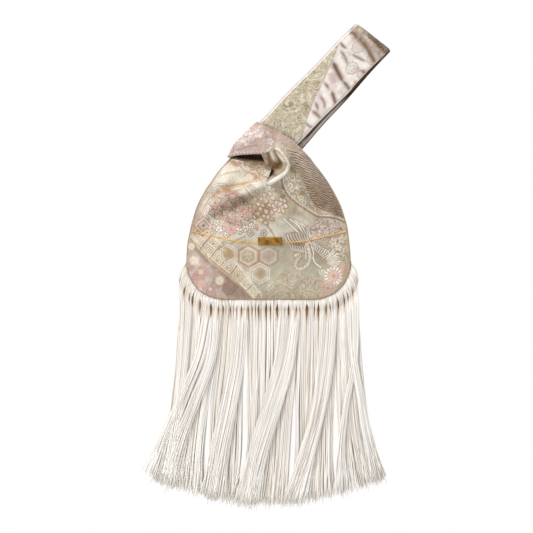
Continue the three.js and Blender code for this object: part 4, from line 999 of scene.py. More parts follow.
def paint_fold_shade_and_wear(loom, spots):
    """Painted shade and highlight along the folds: deeper where the cloth is folded in, paler where it
    stands up; then a little random unevenness of tone."""
    # Painted shade where negative, painted highlight where positive.
    for points, width, deeper in (
        ([(216, 200), (232, 203), (250, 208), (268, 214), (284, 216)], 7, -0.24),
        ([(226, 244), (240, 243), (252, 240)], 6, 0.2),
        ([(198, 220), (200, 230), (204, 240)], 6, -0.4), ([(284, 242), (298, 245), (312, 246)], 8, -0.3),
        ([(296, 214), (312, 218), (328, 222)], 5, -0.24), ([(236, 255), (250, 258), (262, 257)], 7, -0.27),
        ([(222, 229), (240, 232), (260, 231)], 5, -0.15),
        ([(224, 266), (234, 273), (243, 281)], 5, -0.22), ([(212, 223), (224, 231), (238, 235)], 4, 0.16),
        ([(272, 224), (296, 231), (316, 236)], 6, -0.16), ([(270, 178), (278, 186), (288, 194)], 5, -0.3),
        ([(318, 200), (330, 208), (342, 216)], 5, -0.2), ([(200, 205), (196, 214), (193, 226)], 5, -0.25),
        ([(262, 190), (246, 198), (232, 203)], 4, -0.2), ([(320, 244), (334, 256), (344, 268)], 8, 0.14),
        ([(318, 262), (330, 276), (340, 288)], 9, 0.14), ([(262, 280), (290, 284), (316, 282)], 9, 0.1),
    ):
        loom.deepen(points, width, deeper, 10, np.array([0.85, 1.0, 1.15]))
    rng = np.random.default_rng(5)
    worn = 0.05 * drift(spots, 22, 111) + 0.045 * drift(spots, 7, 112) + 0.05 * drift(spots, 3.2, 113)
    worn = worn + 0.05 * rng.normal(0, 1, len(spots))
    loom.colour *= (1 + worn)[:, None]


def weave_pouch(spots):
    """Lays the whole patchwork of the front: grounds first, then borders, fret,
    tortoiseshell, waves, feathers and flowers, the finest threads last, and at the end painted shade and
    highlight along the folds with some random unevenness of tone."""
    loom = Loom(spots, "champagne")
    for part in (lay_grounds, lay_lower_left, lay_right_patch, lay_left_shoulder, lay_left_bands,
                 lay_ribbed_patch, lay_scroll_patch, lay_short_handle, lay_key_fret, lay_lozenge,
                 lay_tortoiseshell, lay_lower_left_flowers, lay_lower_right_flowers, lay_right_rim, lay_bird,
                 lay_plum, lay_shoulder_flowers, paint_fold_shade_and_wear):
        part(loom, spots)
    return loom


def ranged(tree, value, low=0.0, high=1.0, start=0.0, end=1.0):
    """A value carried from the range low to high over to start to end."""
    return add(tree, "MapRange", {0: value, 1: low, 2: high, 3: start, 4: end}).outputs[0]


def noise(tree, place, scale, detail, **more):
    """A cloudy value between 0 and 1 that changes over the place."""
    return add(tree, "TexNoise", {"Vector": place, "Scale": scale, "Detail": detail, **more}).outputs[0]


def object_place(tree, **mapped):
    """A point's place on the piece, turned or stretched where asked."""
    place = add(tree, "TexCoord").outputs["Object"]
    return add(tree, "Mapping", {"Vector": place, **mapped}).outputs[0] if mapped else place


def bumped(tree, height, strength, distance):
    """The normal of a surface that a height stands out of."""
    return add(tree, "Bump", {"Strength": strength, "Distance": distance, "Height": height}).outputs[0]


def new_group(name, takes, gives):
    """An empty node group with named number sockets."""
    group = bpy.data.node_groups.new(name, "ShaderNodeTree")
    for way, sockets in (("INPUT", takes), ("OUTPUT", gives)):
        for socket in sockets:
            group.interface.new_socket(socket, in_out=way, socket_type="NodeSocketFloat")
    return group


def satin_weave():
    """Fine cloth threads: close ribs along and across and short uneven slubs,
    put out as a shade and a height."""
    group = new_group("satin_weave", ["Fineness"], ["Shade", "Height"])
    fineness = add(group, "NodeGroupInput").outputs[0]
    turned = object_place(group, Rotation=(0, 0.5, 0))
    ribs = {"Vector": turned, "Scale": fineness, "Distortion": 1.2, "Detail": 1.0}
    warp, weft = (add(group, "TexWave", ribs, bands_direction=way).outputs["Fac"] for way in "XZ")
    stretched = add(group, "Mapping", {"Vector": turned, "Scale": (1.0, 1.0, 0.22)}).outputs[0]
    slub = noise(group, stretched, 950.0, 3.0, Roughness=0.6)
    height = calculate(group, "MULTIPLY_ADD", calculate(group, "MULTIPLY", warp, weft), 0.6, slub)
    shade = calculate(group, "MULTIPLY_ADD", slub, 0.6, noise(group, turned, 160.0, 4.0))
    add(group, "NodeGroupOutput", {0: shade, 1: height})
    return group


def thread_scrolls():
    """Fine scrollwork: the even levels of a slow noise are drawn as pale raised
    threads, and a darker outline lies on both sides of each."""
    group = new_group("thread_scrolls", [], ["Thread", "Outline"])
    cloud = noise(group, object_place(group, Scale=(1.0, 0.0, 1.0)), 62.0, 1.0, Roughness=0.4, Distortion=1.4)
    level = calculate(group, "PINGPONG", calculate(group, "MULTIPLY", cloud, 7.0), 0.5)
    add(group, "NodeGroupOutput", {0: ranged(group, level, 0.30, 0.40), 1: ranged(group, level, 0.16, 0.05)})
    return group


weave_group, scroll_group = satin_weave(), thread_scrolls()


def brocade(name, rough, sheen=0.2, specular=0.55):
    """Satin cloth with raised threads: its colour is the thread attribute, drawn
    over with scrollwork where the scroll attribute asks for it and made uneven
    by the weave; its bump is thread height plus scrollwork and weave."""
    material, tree, shader = fresh_material(name)
    thread = add(tree, "Attribute", attribute_name="thread").outputs["Color"]
    raised = add(tree, "Attribute", attribute_name="raised").outputs["Fac"]
    scroll = add(tree, "Attribute", attribute_name="scroll").outputs["Fac"]
    drawn = add(tree, "Group", node_tree=scroll_group).outputs
    weave = add(tree, "Group", {"Fineness": 330.0}, node_tree=weave_group).outputs
    dark = calculate(tree, "MULTIPLY", drawn["Outline"], scroll)
    pale = calculate(tree, "MULTIPLY", drawn["Thread"], scroll)
    deepened = mixed(tree, 1.0, thread, (0.50, 0.42, 0.34, 1), "MULTIPLY")
    lit = mixed(tree, 0.42, thread, (0.95, 0.88, 0.74, 1))
    worked = mixed(tree, pale, mixed(tree, dark, thread, deepened), lit)
    uneven = ranged(tree, weave["Shade"], 0.45, 1.15, 0.73, 0.98)
    stands = calculate(tree, "MULTIPLY_ADD", pale, 0.5, raised)
    height = calculate(tree, "MULTIPLY_ADD", weave["Height"], 0.16, stands)
    fill(tree, shader, {
        "Base Color": mixed(tree, 1.0, worked, uneven, "MULTIPLY"),
        "Roughness": ranged(tree, raised, 0.0, 1.0, rough, rough + 0.14),
        "Normal": bumped(tree, height, 0.45, 0.0012),
        "Sheen Weight": sheen, "Sheen Roughness": 0.4, "Specular IOR Level": specular,
    })
    return material


brocade_cloth = brocade("obi_brocade", 0.36)
cut = cut_cloth(front_outline, 0.5)
loom = weave_pouch(cut[0])
depth = pouch_depth(cut[0])
front_cloth = cloth_piece("front_cloth", -1, cut, depth, brocade_cloth, loom)
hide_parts("front_panel", "front_fleece", "left_shoulder_front", "right_shoulder_front",
            "short_handle_front", "knot_gather_front")
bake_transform(front_cloth)

# Back of the bag: the same cloth cut to the same shape, mirrored through the
# middle plane. It meets the front at the closed end of the short handle.
back_cloth = cloth_piece("back_cloth", 1, cut, depth, brocade_cloth, loom)
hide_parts("back_panel", "back_fleece", "left_shoulder_back", "right_shoulder_back",
            "short_handle_back", "knot_gather_back")
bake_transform(back_cloth)


# Silk lining: a thinner cloth a few millimetres inside each brocade layer,
# which joins it along the rim, and the same silk turned out at the mouth.
def plain_cloth(name, tone, deep, rough=0.45, fineness=360.0, sheen=0.3):
    """Plain woven silk: two close tones that follow slow clouds, and the weave's
    shade and height on top."""
    material, tree, shader = fresh_material(name)
    cloud = noise(tree, object_place(tree), 45.0, 4.0)
    weave = add(tree, "Group", {"Fineness": fineness}, node_tree=weave_group).outputs
    base = mixed(tree, cloud, linear(deep), linear(tone))
    uneven = ranged(tree, weave["Shade"], 0.45, 1.15, 0.86, 1.08)
    fill(tree, shader, {
        "Base Color": mixed(tree, 1.0, base, uneven, "MULTIPLY"),
        "Roughness": ranged(tree, cloud, start=rough - 0.06, end=rough + 0.08),
        "Normal": bumped(tree, weave["Height"], 0.3, 0.0004),
        "Sheen Weight": sheen,
    })
    return material


silk_lining = plain_cloth("silk_lining", (168, 148, 122), (138, 116, 92))
lining_outline = np.vstack([
    smooth_line(right_side, 60), right_rim[13:], bottom_line, left_rim[:-1],
    [(232, 160), (245, 163), (262, 171), (272, 188), (290, 176), (297, 162)],
])
cut = cut_cloth(lining_outline, 1.5)
to_rim, _ = nearest(cut[0], np.vstack([right_rim, bottom_line, left_rim]))
depth = np.maximum(pouch_depth(cut[0]) - 0.5 - 3.6 * ease(to_rim, 0.3, 6), 3.2)
for side, name in ((-1, "front"), (1, "back")):
    lining = cloth_piece(f"{name}_silk", side, cut, depth, silk_lining, inwards=True)
    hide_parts(f"{name}_lining", f"short_handle_lining_{name}")
    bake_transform(lining)

# Inside of the knot: each shoulder layer goes on up into the short handle,
# brocade painted in shade, and closes the way through the mouth.
inner_outline = smooth_line(
    [(230.2, 158.0), (233, 150), (241, 141), (256, 133), (276, 141), (291, 150), (296, 165), (290, 184),
     (274, 192), (264, 187), (268.5, 176), (270.4, 168.6), (258, 166.0), (245, 163.4), (236, 161.2),
     (230.2, 158.0)], 150)[:-1]
cut = cut_cloth(inner_outline, 0.9)
spots = cut[0]
to_tunnel, _ = nearest(spots, tunnel_line)
to_left, _ = nearest(spots, left_side)
depth = 6.5 + 8.5 * round_off(to_left, 14) - 5.6 - 4.0 * ease(to_tunnel, 0, 8) + 0.8 * drift(spots, 12, 21)
depth = np.maximum(depth, 1.2)
# A dull copy of the brocade without sheen, for parts painted in shade.
shaded_brocade = brocade("brocade_in_painted_shade", 0.6, sheen=0.0, specular=0.15)
loom = Loom(spots, "tan")
loom.scroll = 0.6 * np.ones(len(spots))
loom.petal(241, 160, 3.0, 2.2, 10, "pink", 0.8, "coral", 0.6)
# Painted shade: brown at the tunnel's edge, then umber and near black deeper into it.
loom.lay(ease(to_tunnel, -1, 2), "brown", 0.0, 0.8)
into_shade = to_tunnel - 0.1 * (spots[:, 0] - 244)
loom.lay(ease(into_shade, 0.8, 3.0), "umber", 0.0, 0.95)
loom.lay(ease(into_shade, 1.8, 4.4), "shade", 0.0, 0.98)
loom.scroll *= ease(to_tunnel, 3, 1)
for side, name in ((-1, "front"), (1, "back")):
    inner = cloth_piece(f"{name}_inner_shoulder", side, cut, depth, shaded_brocade, loom)
    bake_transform(inner)

# Silk facing of the mouth: it dips from the rolled edge into the knot, with a few soft pleats.
# Its colour is painted light: pale at the roll, painted shade brown in the hollow and along the pleats.
facing_outline = np.vstack(
    [smooth_line([(261, 154.2), (266.5, 150.9), (273.2, 147.6)], 14)[:-1], crest_line[::-1][:-1],
     smooth_line([(268, 183), (266.4, 180.5), (266.8, 175.5), (267.6, 169.0), (264.5, 161.5), (261, 154.2)],
                 24)[:-1]]
)
cut = cut_cloth(facing_outline, 0.45)
spots = cut[0]
x, y = spots.T
to_crest, _ = nearest(spots, crest_line)
depth = 19.5 - 11.0 * ease(to_crest, 0.5, 13)
depth = depth + soft_ridge(spots, [(270, 151), (274, 160), (276, 172)], 2.6, 1.6, 3)
depth = depth - soft_ridge(spots, [(277, 153), (281, 162), (279, 171)], 2.2, 1.8, 3)
loom = Loom(spots, "champagne")
# Painted shade: tan and brown lower down and umber in the hollow; the brown and umber streaks are painted shade
# along the pleats, the cream one a painted highlight.
loom.lay(ease(y, 152, 163), "tan", 0, 0.7)
loom.lay(ease(y + 0.5 * (x - 274), 158, 168), "brown", 0, 0.95)
loom.lay(zone(spots, [(267, 158), (274, 162.4), (279.6, 164), (278, 168.6), (272.6, 170), (269, 166)], 2.5),
         "umber", 0, 0.75)
loom.streak([(266.4, 150.6), (267.6, 154), (270.6, 160), (274, 166)], 1.3, "brown", 0, 0.9, fade=2)
loom.streak([(273.4, 149.6), (276.4, 154.6), (279.4, 160), (280.6, 166)], 1.6, "umber", 0, 0.85)
loom.streak([(276.6, 150.4), (281, 156), (284, 162), (282.6, 169)], 1.6, "olive", 0.2, 0.9)
loom.streak([(269.6, 150.4), (271.6, 155), (274.4, 160.4)], 1.2, "cream", 0.2, 0.95)
loom.streak([(272.4, 173.4), (276.4, 171.6), (281, 168.4)], 1.4, "tan", 0.2, 0.9)
loom.lay(ease(y, 175, 179), "champagne", 0, 0.9)
rolled_in = ease(to_crest, 5.6, 3.4) * ease(x, 274, 278)
loom.lay(rolled_in * ease(y, 160, 168), "champagne", 0.2, 0.7)
loom.lay(rolled_in * ease(y, 166, 159), "cream", 0.3, 0.95)
loom.lay(rolled_in * ease(y, 166, 159) * ease(drift(spots, 3, 7), 0.1, 0.5), "gold", 0.5, 0.45)
# Painted shadow: near black at the mouth's small opening.
loom.lay(zone(spots, [(270, 171.0), (272.6, 169.8), (274.4, 171.2), (273.2, 174.2), (270.8, 177), (269.2, 176)],
              1.2), "shade", 0, 1.0)
for side, name in ((-1, "front"), (1, "back")):
    facing = cloth_piece(f"{name}_mouth_facing", side, cut, depth, shaded_brocade, loom)
    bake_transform(facing)


# Hems: every free edge of the brocade is turned over a little roll of cloth.
# The mouth's edge is rolled thickest and shows its satin, with its lower end
# tucked under; those of the short handle are oversewn with short stitches.
def rope(path, radius, sides, flat=1.0):
    """A tube along a path: at each point a ring whose axes are carried on from
    the point before without turning round the path. The second axis is scaled
    by flat and starts off along the depth."""
    path = np.asarray(path, float)
    radius = np.broadcast_to(radius, len(path))
    way = np.gradient(path, axis=0)
    way /= np.linalg.norm(way, axis=1, keepdims=True)
    across = np.zeros_like(path)
    lead = np.cross(way[0], [0.0, 1.0, 0.0])
    for k, ahead in enumerate(way):
        lead = lead - ahead * (lead @ ahead)
        lead /= np.linalg.norm(lead)
        across[k] = lead
    other = np.cross(across, way)
    angle = np.linspace(0, 2 * math.pi, sides, endpoint=False)[None, :]
    ring = across[:, None] * np.cos(angle)[..., None] + other[:, None] * (np.sin(angle) * flat)[..., None]
    points = (path[:, None] + ring * radius[:, None, None]).reshape(-1, 3)
    ends = [list(range(sides))[::-1], [len(points) - sides + k for k in range(sides)]]
    lay = np.stack([np.tile(np.arange(sides) / sides, len(path)), np.repeat(length_along(path), sides)], axis=1)
    return points, grid_faces(len(path), sides, closed=True), ends, lay


def rope_piece(name, path, radius, sides, material, loom=None, flat=1.0, colour=None):
    """Makes a rope into a piece with closed ends."""
    points, quads, ends, lay = rope(path, radius, sides, flat)
    piece = make_piece(name, points, quads, (), material, loom, lay, colour)
    mesh = piece.data
    builder = bmesh.new()
    builder.from_mesh(mesh)
    builder.verts.ensure_lookup_table()
    for ring in ends:
        builder.faces.new([builder.verts[k] for k in ring]).smooth = True
    bmesh.ops.recalc_face_normals(builder, faces=builder.faces)
    builder.to_mesh(mesh)
    builder.free()
    return piece


roll_path = smooth_line(
    [(256.5, 153.6), (262, 153.2), (267.2, 151.4), (273.0, 148.4), (279, 151.6), (284.6, 157.8), (288.2, 164.6),
     (286.6, 171.2), (281.2, 176.4), (274.8, 180.6), (268.8, 184.2), (265.6, 185.6)], 150)
roll_radius = smooth_line(np.array([[0.7, 1.3, 1.9, 2.3, 2.5, 2.7, 2.8, 3.0, 3.3, 3.5, 3.1, 0.6]]).T, 150)[:, 0]
roll_depth = pouch_depth(roll_path) - 0.45 * roll_radius
for side, name in ((-1, "front"), (1, "back")):
    path = in_space(roll_path, roll_depth, side)
    points = rope(path, roll_radius * 0.001, 20)[0]
    flat_x = knot_column + (points[:, 0] - knot[0]) / step_m
    flat_y = knot_row - (points[:, 2] - knot[2]) / step_m
    loom = Loom(np.stack([flat_x, flat_y], axis=1), "ivory")
    loom.lay(ease(drift(loom.spots, 6, 5), 0.1, 0.8), "white", 0.1, 0.5)
    loom.scroll = 0.5 * ease(flat_y, 176, 166)
    # Painted highlight, white, along the roll's crest, and painted shade, tan, on its inner side.
    lit = [(276, 147.6), (282, 151), (287.4, 157.6), (289.4, 165), (286, 172.6), (279, 178.4), (270, 183)]
    loom.streak(lit, 1.9, "white", 0.2, 0.95)
    loom.streak([(272, 150), (277.6, 153), (282.6, 159), (285.6, 165), (284, 170.6), (279, 175)], 1.2, "tan",
                0.1, 0.8)
    loom.lay(ease(drift(loom.spots, 3, 6), 0.1, 0.5) * ease(flat_y, 174, 164), "gold", 0.4, 0.6)
    loom.streak([(264.6, 181), (267, 186), (273, 187.6), (281, 184)], 1.1, "brown", 0.1, 0.8)
    loom.lay(ease(flat_x, 268, 258) * ease(flat_y, 160, 152), "rose", 0.2, 0.6)
    loom.line([(264.5, 182.5), (268.5, 186.4), (276, 188.4)], 0.9, "tan", 0.2, 0.8)
    roll = rope_piece(f"{name}_mouth_roll", path, roll_radius * 0.001, 20, brocade_cloth, loom)
    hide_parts(f"mouth_lip_{name}")
    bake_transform(roll)


def winding(tree, spacing, turns=1):
    """A wave that winds round a rope, one slanting turn to each spacing along it:
    the sine of its run over the spacing plus its place in the ring."""
    lay = add(tree, "SeparateXYZ", {0: add(tree, "UVMap", uv_map="lay").outputs[0]}).outputs
    along = calculate(tree, "MULTIPLY_ADD", lay["Y"], 1.0 / spacing, lay["X"])
    return calculate(tree, "SINE", calculate(tree, "MULTIPLY", along, turns * 2 * math.pi))


def stitched_hem(name, tone, deep, spacing):
    """A rolled hem: slanting stitches wind round it, each a raised pale band."""
    material, tree, shader = fresh_material(name)
    cloud = noise(tree, object_place(tree), 700.0, 3.0)
    share = ranged(tree, calculate(tree, "MULTIPLY_ADD", cloud, 4.0, winding(tree, spacing)), 0.4, 3.4)
    fill(tree, shader, {
        "Base Color": mixed(tree, share, linear(deep), linear(tone)),
        "Roughness": ranged(tree, share, start=0.5, end=0.38),
        "Normal": bumped(tree, share, 0.5, 0.0005),
        "Sheen Weight": 0.25,
    })
    return material


pink_hem = stitched_hem("pink_oversewn_hem", (204, 184, 174), (150, 122, 114), 0.0046)
for name, line, thick in (("lower_hem", low_hem[8:], 2.3), ("upper_hem", top_hem[::-1], 0.9)):
    depth = np.maximum(pouch_depth(line) - 0.5 * thick, 0.02)
    path = np.vstack([in_space(line, depth), in_space(line[::-1], depth[::-1], 1)])
    run = length_along(path)
    even = np.linspace(0, run[-1], 170)
    path = np.stack([np.interp(even, run, values) for values in path.T], axis=1)
    for _ in range(4):
        path[1:-1] = 0.25 * path[:-2] + 0.5 * path[1:-1] + 0.25 * path[2:]
    hem = rope_piece(name, path, thick * 0.001, 12, pink_hem)
    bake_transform(hem)

# Piping: a cord covered in bronze silk, sewn into the seam all round each face.
bronze_silk = stitched_hem("bronze_piping", (176, 148, 112), (140, 112, 80), 0.0034)
rim_run = np.vstack([smooth_line(right_side, 50), right_rim[13:], bottom_line, left_rim[:22],
                     smooth_line(left_side, 50)])
rim_depth = pouch_depth(rim_run)
outwards = np.gradient(rim_run, axis=0)
outwards = np.stack([outwards[:, 1], -outwards[:, 0]], axis=1)
outwards /= np.maximum(np.linalg.norm(outwards, axis=1, keepdims=True), 1e-9)
for side, name in ((-1, "front"), (1, "back")):
    path = in_space(rim_run + outwards * 0.1, np.clip(rim_depth, 6.4, 8.2) - 0.6, side)
    piping = rope_piece(f"{name}_rim_piping", path, 0.0010, 8, bronze_silk)
    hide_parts(f"{name}_piping")
    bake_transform(piping)

# Gusset: one narrow strip of the brocade between the two pipings, round the
# bottom and part of the way up, pinched a little by its seams.
closed_below = rim_run[:, 1] > 229.5
low_rim, low_out = rim_run[closed_below], outwards[closed_below]
across = np.linspace(-1, 1, 13)
run = length_along(low_rim)
slow_wave = 0.22 * np.sin(run * 1.9)[:, None] * (1 - np.abs(across))[None, :]
swell = 0.25 - 1.3 * (1 - across[None, :] ** 2) + slow_wave
strip = low_rim[:, None] + low_out[:, None] * (swell / step_mm)[..., None]
width = 7.4 * across
points = in_space(strip.reshape(-1, 2), np.tile(width, len(run)), 1)
quads = grid_faces(len(run), len(across))
loom = Loom(np.stack([np.repeat(run, len(across)), np.tile(width / step_mm, len(run))], axis=1), "champagne")
loom.marble(3.4, 0.7, 121, "cream", 1.0, 0.6, 0.6)
loom.marble(4.9, 0.6, 122, "gold", 1.0, 0.6, 0.3)
gusset = make_piece("gusset_strip", points, quads, (), brocade_cloth, loom)
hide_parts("gusset")
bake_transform(gusset)


# Long handle: one ribbon of brocade, lined and slightly padded, that rises out
# of the knot, folds over at its far end and comes back behind itself, a little
# askew. The left of its face is marbled gold and green, the right silver pink.
along_way, across_way = np.array([0.69966, -0.71447]), np.array([0.71447, 0.69966])
ribbon_half, ribbon_thick, fold_radius, fold_run = 22.1, 1.7, 4.3, 146.6
face_runs = np.linspace(-12, fold_run, 190)
fold_turn = np.linspace(0, math.pi, 15)[1:-1]
run = np.concatenate([face_runs, np.full(len(fold_turn), fold_run), face_runs[::-1]])
turn = np.concatenate([np.zeros(len(face_runs)), fold_turn, np.full(len(face_runs), math.pi)])
share = np.concatenate([np.linspace(-1, 1, 61), np.linspace(1, -1, 22)[1:-1]])
outer = np.arange(len(share)) < 61
height = ribbon_thick * np.sqrt(np.clip(1 - np.abs(share) ** 10, 0, 1)) * np.where(outer, 1, -1)
grid_run = run[:, None] + 0.11 * ribbon_half * share[None, :] * ease(run, 60, 146)[:, None]
askew = np.where(turn > math.pi / 2, 0.042 * (fold_run - run), 0.0)
grid_side = ribbon_half * share[None, :] + askew[:, None] + 0.35 * np.sin(run * 0.09)[:, None]
grid_turn = np.repeat(turn[:, None], len(share), axis=1)
bend = fold_radius * (1 - 0.25 * ease(np.abs(share), 0.85, 1.0))[None, :]
off_plane = bend * np.cos(grid_turn) + height[None, :] * np.cos(grid_turn)
grid_run = grid_run + (bend * np.sin(grid_turn) + height[None, :] * np.sin(grid_turn)) / step_mm
middle = np.array([knot_column, knot_row])
flat_spots = (middle + grid_run[..., None] * along_way + grid_side[..., None] * across_way).reshape(-1, 2)
creases = np.zeros(len(flat_spots))
wrinkles = (
    ([(333, 62), (338, 72), (343, 82)], 2.3, -1.9, 0.75),
    ([(331.5, 91), (334, 98), (337, 107)], 1.8, -1.6, 0.7), ([(343, 81), (348, 87), (352, 94)], 2.0, -1.5, 0.6),
    ([(312, 110), (316, 114), (321, 119)], 2.0, -1.2, 0.45),
    ([(358, 36), (367, 48), (376, 64)], 2.6, -1.7, 0.7), ([(348, 30), (354, 34), (358, 40)], 2.2, -1.0, 0.6),
    ([(340, 50), (345, 57), (348, 66)], 1.6, -0.9, 0.35), ([(320, 96), (324, 102), (325, 110)], 1.8, -1.0, 0.4),
    ([(360, 70), (366, 74), (370, 80)], 1.8, -1.1, 0.45),
    ([(376, 40), (382, 48), (386, 54)], 2.4, -1.0, 0.4), ([(354, 80), (358, 86), (362, 90)], 1.8, -0.9, 0.35),
    ([(340, 42), (343, 46), (347, 49)], 1.6, -0.9, 0.55), ([(324, 82), (327, 86), (329, 90)], 1.6, -0.9, 0.5),
    ([(315, 102), (317, 106), (318, 111)], 1.6, -0.9, 0.5),
    ([(351, 54), (358, 58), (366, 62)], 1.5, -0.8, 0.4), ([(305, 122), (309, 126), (314, 129)], 1.6, -0.8, 0.4),
    ([(326, 70), (331, 80), (336, 90)], 3.6, 1.5, 0), ([(338, 86), (342, 96), (344, 102)], 3.2, 1.3, 0),
    ([(350, 44), (360, 58), (368, 72)], 4.4, 1.4, 0),
    ([(306, 100), (316, 108), (328, 118)], 4.0, 1.0, 0), ([(284, 96), (296, 108), (300, 122)], 5.0, 0.9, 0),
    ([(330, 46), (326, 60), (318, 74)], 5.0, 0.8, 0),
)
for crease, width, tall, _ in wrinkles:
    creases += soft_ridge(flat_spots, crease, width, 1.4 * tall, 5)
creases += 0.35 * drift(flat_spots, 16, 131) + 0.18 * drift(flat_spots, 7, 132)
share_all, run_all, is_outer = np.tile(share, len(run)), np.repeat(run, len(share)), np.tile(outer, len(run))
outward = np.cos(grid_turn).ravel()
calm = (1 - np.abs(share_all) ** 6) * (0.4 + 0.6 * is_outer)
off_plane = off_plane.ravel() + creases * calm * np.sign(outward) * np.abs(outward) * ease(run_all, -4, 20)
points = in_space(flat_spots, off_plane)
quads = grid_faces(len(run), len(share), closed=True)
loom = Loom(flat_spots, "champagne")
division = np.array([(344, 26), (339.5, 40), (337.8, 47), (325, 77.6), (314.8, 98), (305.9, 122),
                     (300.8, 142.7), (296, 160)])
silver_side = zone(flat_spots, np.vstack([division, [(420, 160), (420, 26)]]), 1.6)
loom.lay(ease(drift(flat_spots, 17, 133), -0.3, 0.6), "moss", 0.2, 0.9)
marbled = 1 - silver_side
loom.lay(marbled * ease(drift(flat_spots, 10, 134), 0.0, 0.7) * ease(flat_spots[:, 1], 90, 60), "ivory", 0.2,
         0.8)
loom.scroll = marbled * (0.75 + 0.25 * np.clip(drift(flat_spots, 12, 135), -1, 1))
loom.marble(5.2, 0.6, 143, "gold", marbled, 0.2, 0.5)
loom.marble(6.4, 1.1, 145, "white", marbled * ease(drift(flat_spots, 13, 145), -0.2, 0.4), 0.8, 0.6)
loom.lay(silver_side, "pearl", 0.2, 1.0)
loom.lay(silver_side * ease(drift(flat_spots, 13, 151), 0.1, 0.8), "pink", 0.2, 0.35)
end_part = silver_side * ease(flat_spots @ along_way, 212, 232)
loom.lay(end_part, "champagne", 0.2, 0.8)
loom.lay(end_part * ease(drift(flat_spots, 6, 152), -0.2, 0.5), "dusk", 0.2, 0.8)
loom.lay(silver_side * zone(flat_spots, [(327, 74), (334, 72), (338, 82), (330, 88)], 4), "pink", 0.2, 0.7)
loom.lay(end_part * ease(drift(flat_spots, 4, 153), 0.3, 0.7), "gold", 0.2, 0.4)
loom.scroll = np.maximum(loom.scroll, 0.35 * end_part)
medallions = ((358, 47.5, 6.0, 1.0), (351.8, 68.3, 6.2, 1.0), (346, 56, 4.2, 0.6), (362.6, 74.6, 5.0, 0.8),
              (372, 59, 5.6, 0.8), (343.5, 92.5, 5.2, 0.5), (331, 112, 4.8, 0.5), (319, 133, 4.4, 0.5))
for mx, my, size, strong in medallions:
    where, a, b = loom.about(mx, my, size + 2)
    angle = np.arctan2(b, a)
    away = np.hypot(a, b) + 0.9 * np.abs(np.sin(angle * 4.5)) - 0.4 + 0.5 * np.sin(angle * 2 + mx)
    loom.lay(cover(away - size) * silver_side[where], "silver", 0.5, 0.5 * strong, where)
    loom.lay(cover(np.abs(away - size) - 0.3) * silver_side[where], "brown", 0.1, 0.95 * strong, where)
    loom.lay(cover(np.abs(away - size * 0.5) - 0.25) * silver_side[where] * ease(np.sin(angle * 5), -0.6, 0.2),
             "slate", 0.3, 0.7 * strong, where)
# Painted light on the silver side's creases: a white painted highlight beside each, and painted shade, mauve to
# umber, along it.
for crease, width, _, shaded in wrinkles:
    if shaded:
        beside = [(px + 3.6, py - 1.4) for px, py in crease]
        loom.streak(beside, width * 0.8, "white", 0.2, 0.8 * shaded, 4, silver_side)
        loom.streak(crease, width * 2.0, "mauve", 0.1, 0.6 * shaded, 5, silver_side)
        loom.streak(crease, width * 1.2, "dusk", 0.1, min(1.0, 1.3 * shaded), 4, silver_side)
        loom.streak(crease, width * 0.6, "brown", 0.1, min(1.0, 1.2 * shaded), 4, silver_side)
        loom.streak(crease, width * 0.4, "umber", 0.1, 0.8 * shaded, 3, silver_side)
loom.line(division[1:].tolist(), 0.7, "brown", 0.0, 0.5)
stitch_at, right_edge = np.abs(share_all), share_all > 0
loom.lay(ease(stitch_at, 0.875, 0.89), "pearl", 0.6, 0.75)
loom.lay(cover((np.abs(stitch_at - 0.87) - 0.008) * 22, 0.4), "brown", -0.3, 0.6)
# Painted shade along the right edge: an umber band, wider towards the far end, where the ribbon's edge turns
# away.
far_right = ease(run_all, 80, 110) * right_edge
loom.lay(ease(stitch_at + 0.04 * far_right, 0.95, 0.965) * right_edge, "umber", 0.1, 1.0)
loom.lay(ease(stitch_at, 0.965, 0.98) * ~right_edge, "tan", 0.1, 0.8)
# Painted shade where the ribbon turns over at the fold: dusk, then umber.
slanted_run = run_all + 0.11 * ribbon_half * share_all
loom.lay(np.exp(-(((slanted_run - 141) / 3.2) ** 2)) * is_outer, "dusk", 0.1, 0.6)
loom.lay(ease(slanted_run, 144.6, fold_run) * is_outer, "umber", 0.1, 0.8)
# The lining seen past the front ribbon's edge: tan, paler and pinker near the knot, with painted shadow, near
# black, next to the front ribbon and painted shade, umber, towards the fold.
lined = 1.0 - is_outer
beyond = (grid_side - ribbon_half).ravel()
loom.lay(lined, "tan", 0.1)
loom.lay(lined * ease(run_all, 100, 70), "white", 0.1, 1.0)
loom.lay(lined * ease(run_all, 100, 70), "rose", 0.1, 0.55)
loom.lay(lined * ease(beyond, 1.3, 0.5), "shade", 0.1, 0.98)
loom.lay(lined * ease(stitch_at, 0.91, 0.95), "umber", 0.1, 0.95)
loom.lay(lined * ease(run_all, 84, 112), "umber", 0.1, 0.95)
strap_brocade = brocade("strap_brocade", 0.4, sheen=0.04, specular=0.45)
long_handle = make_piece("long_handle", points, quads, (), strap_brocade, loom)
# The ribbon's edges and lining take the dull copy of the brocade made for parts in painted shade.
long_handle.data.materials.append(shaded_brocade)
cell = np.arange(len(share))
edge_or_lining = (cell >= 60) | (np.abs(cell - 29.5) > 28)
long_handle.data.polygons.foreach_set("material_index", np.tile(edge_or_lining, len(run) - 1).astype(np.int32))
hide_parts("handle_front_strap", "handle_front_lining", "handle_back_strap", "handle_back_lining",
            "strap_neck_front", "strap_neck_back", "strap_root_front", "strap_root_back")
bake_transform(long_handle)


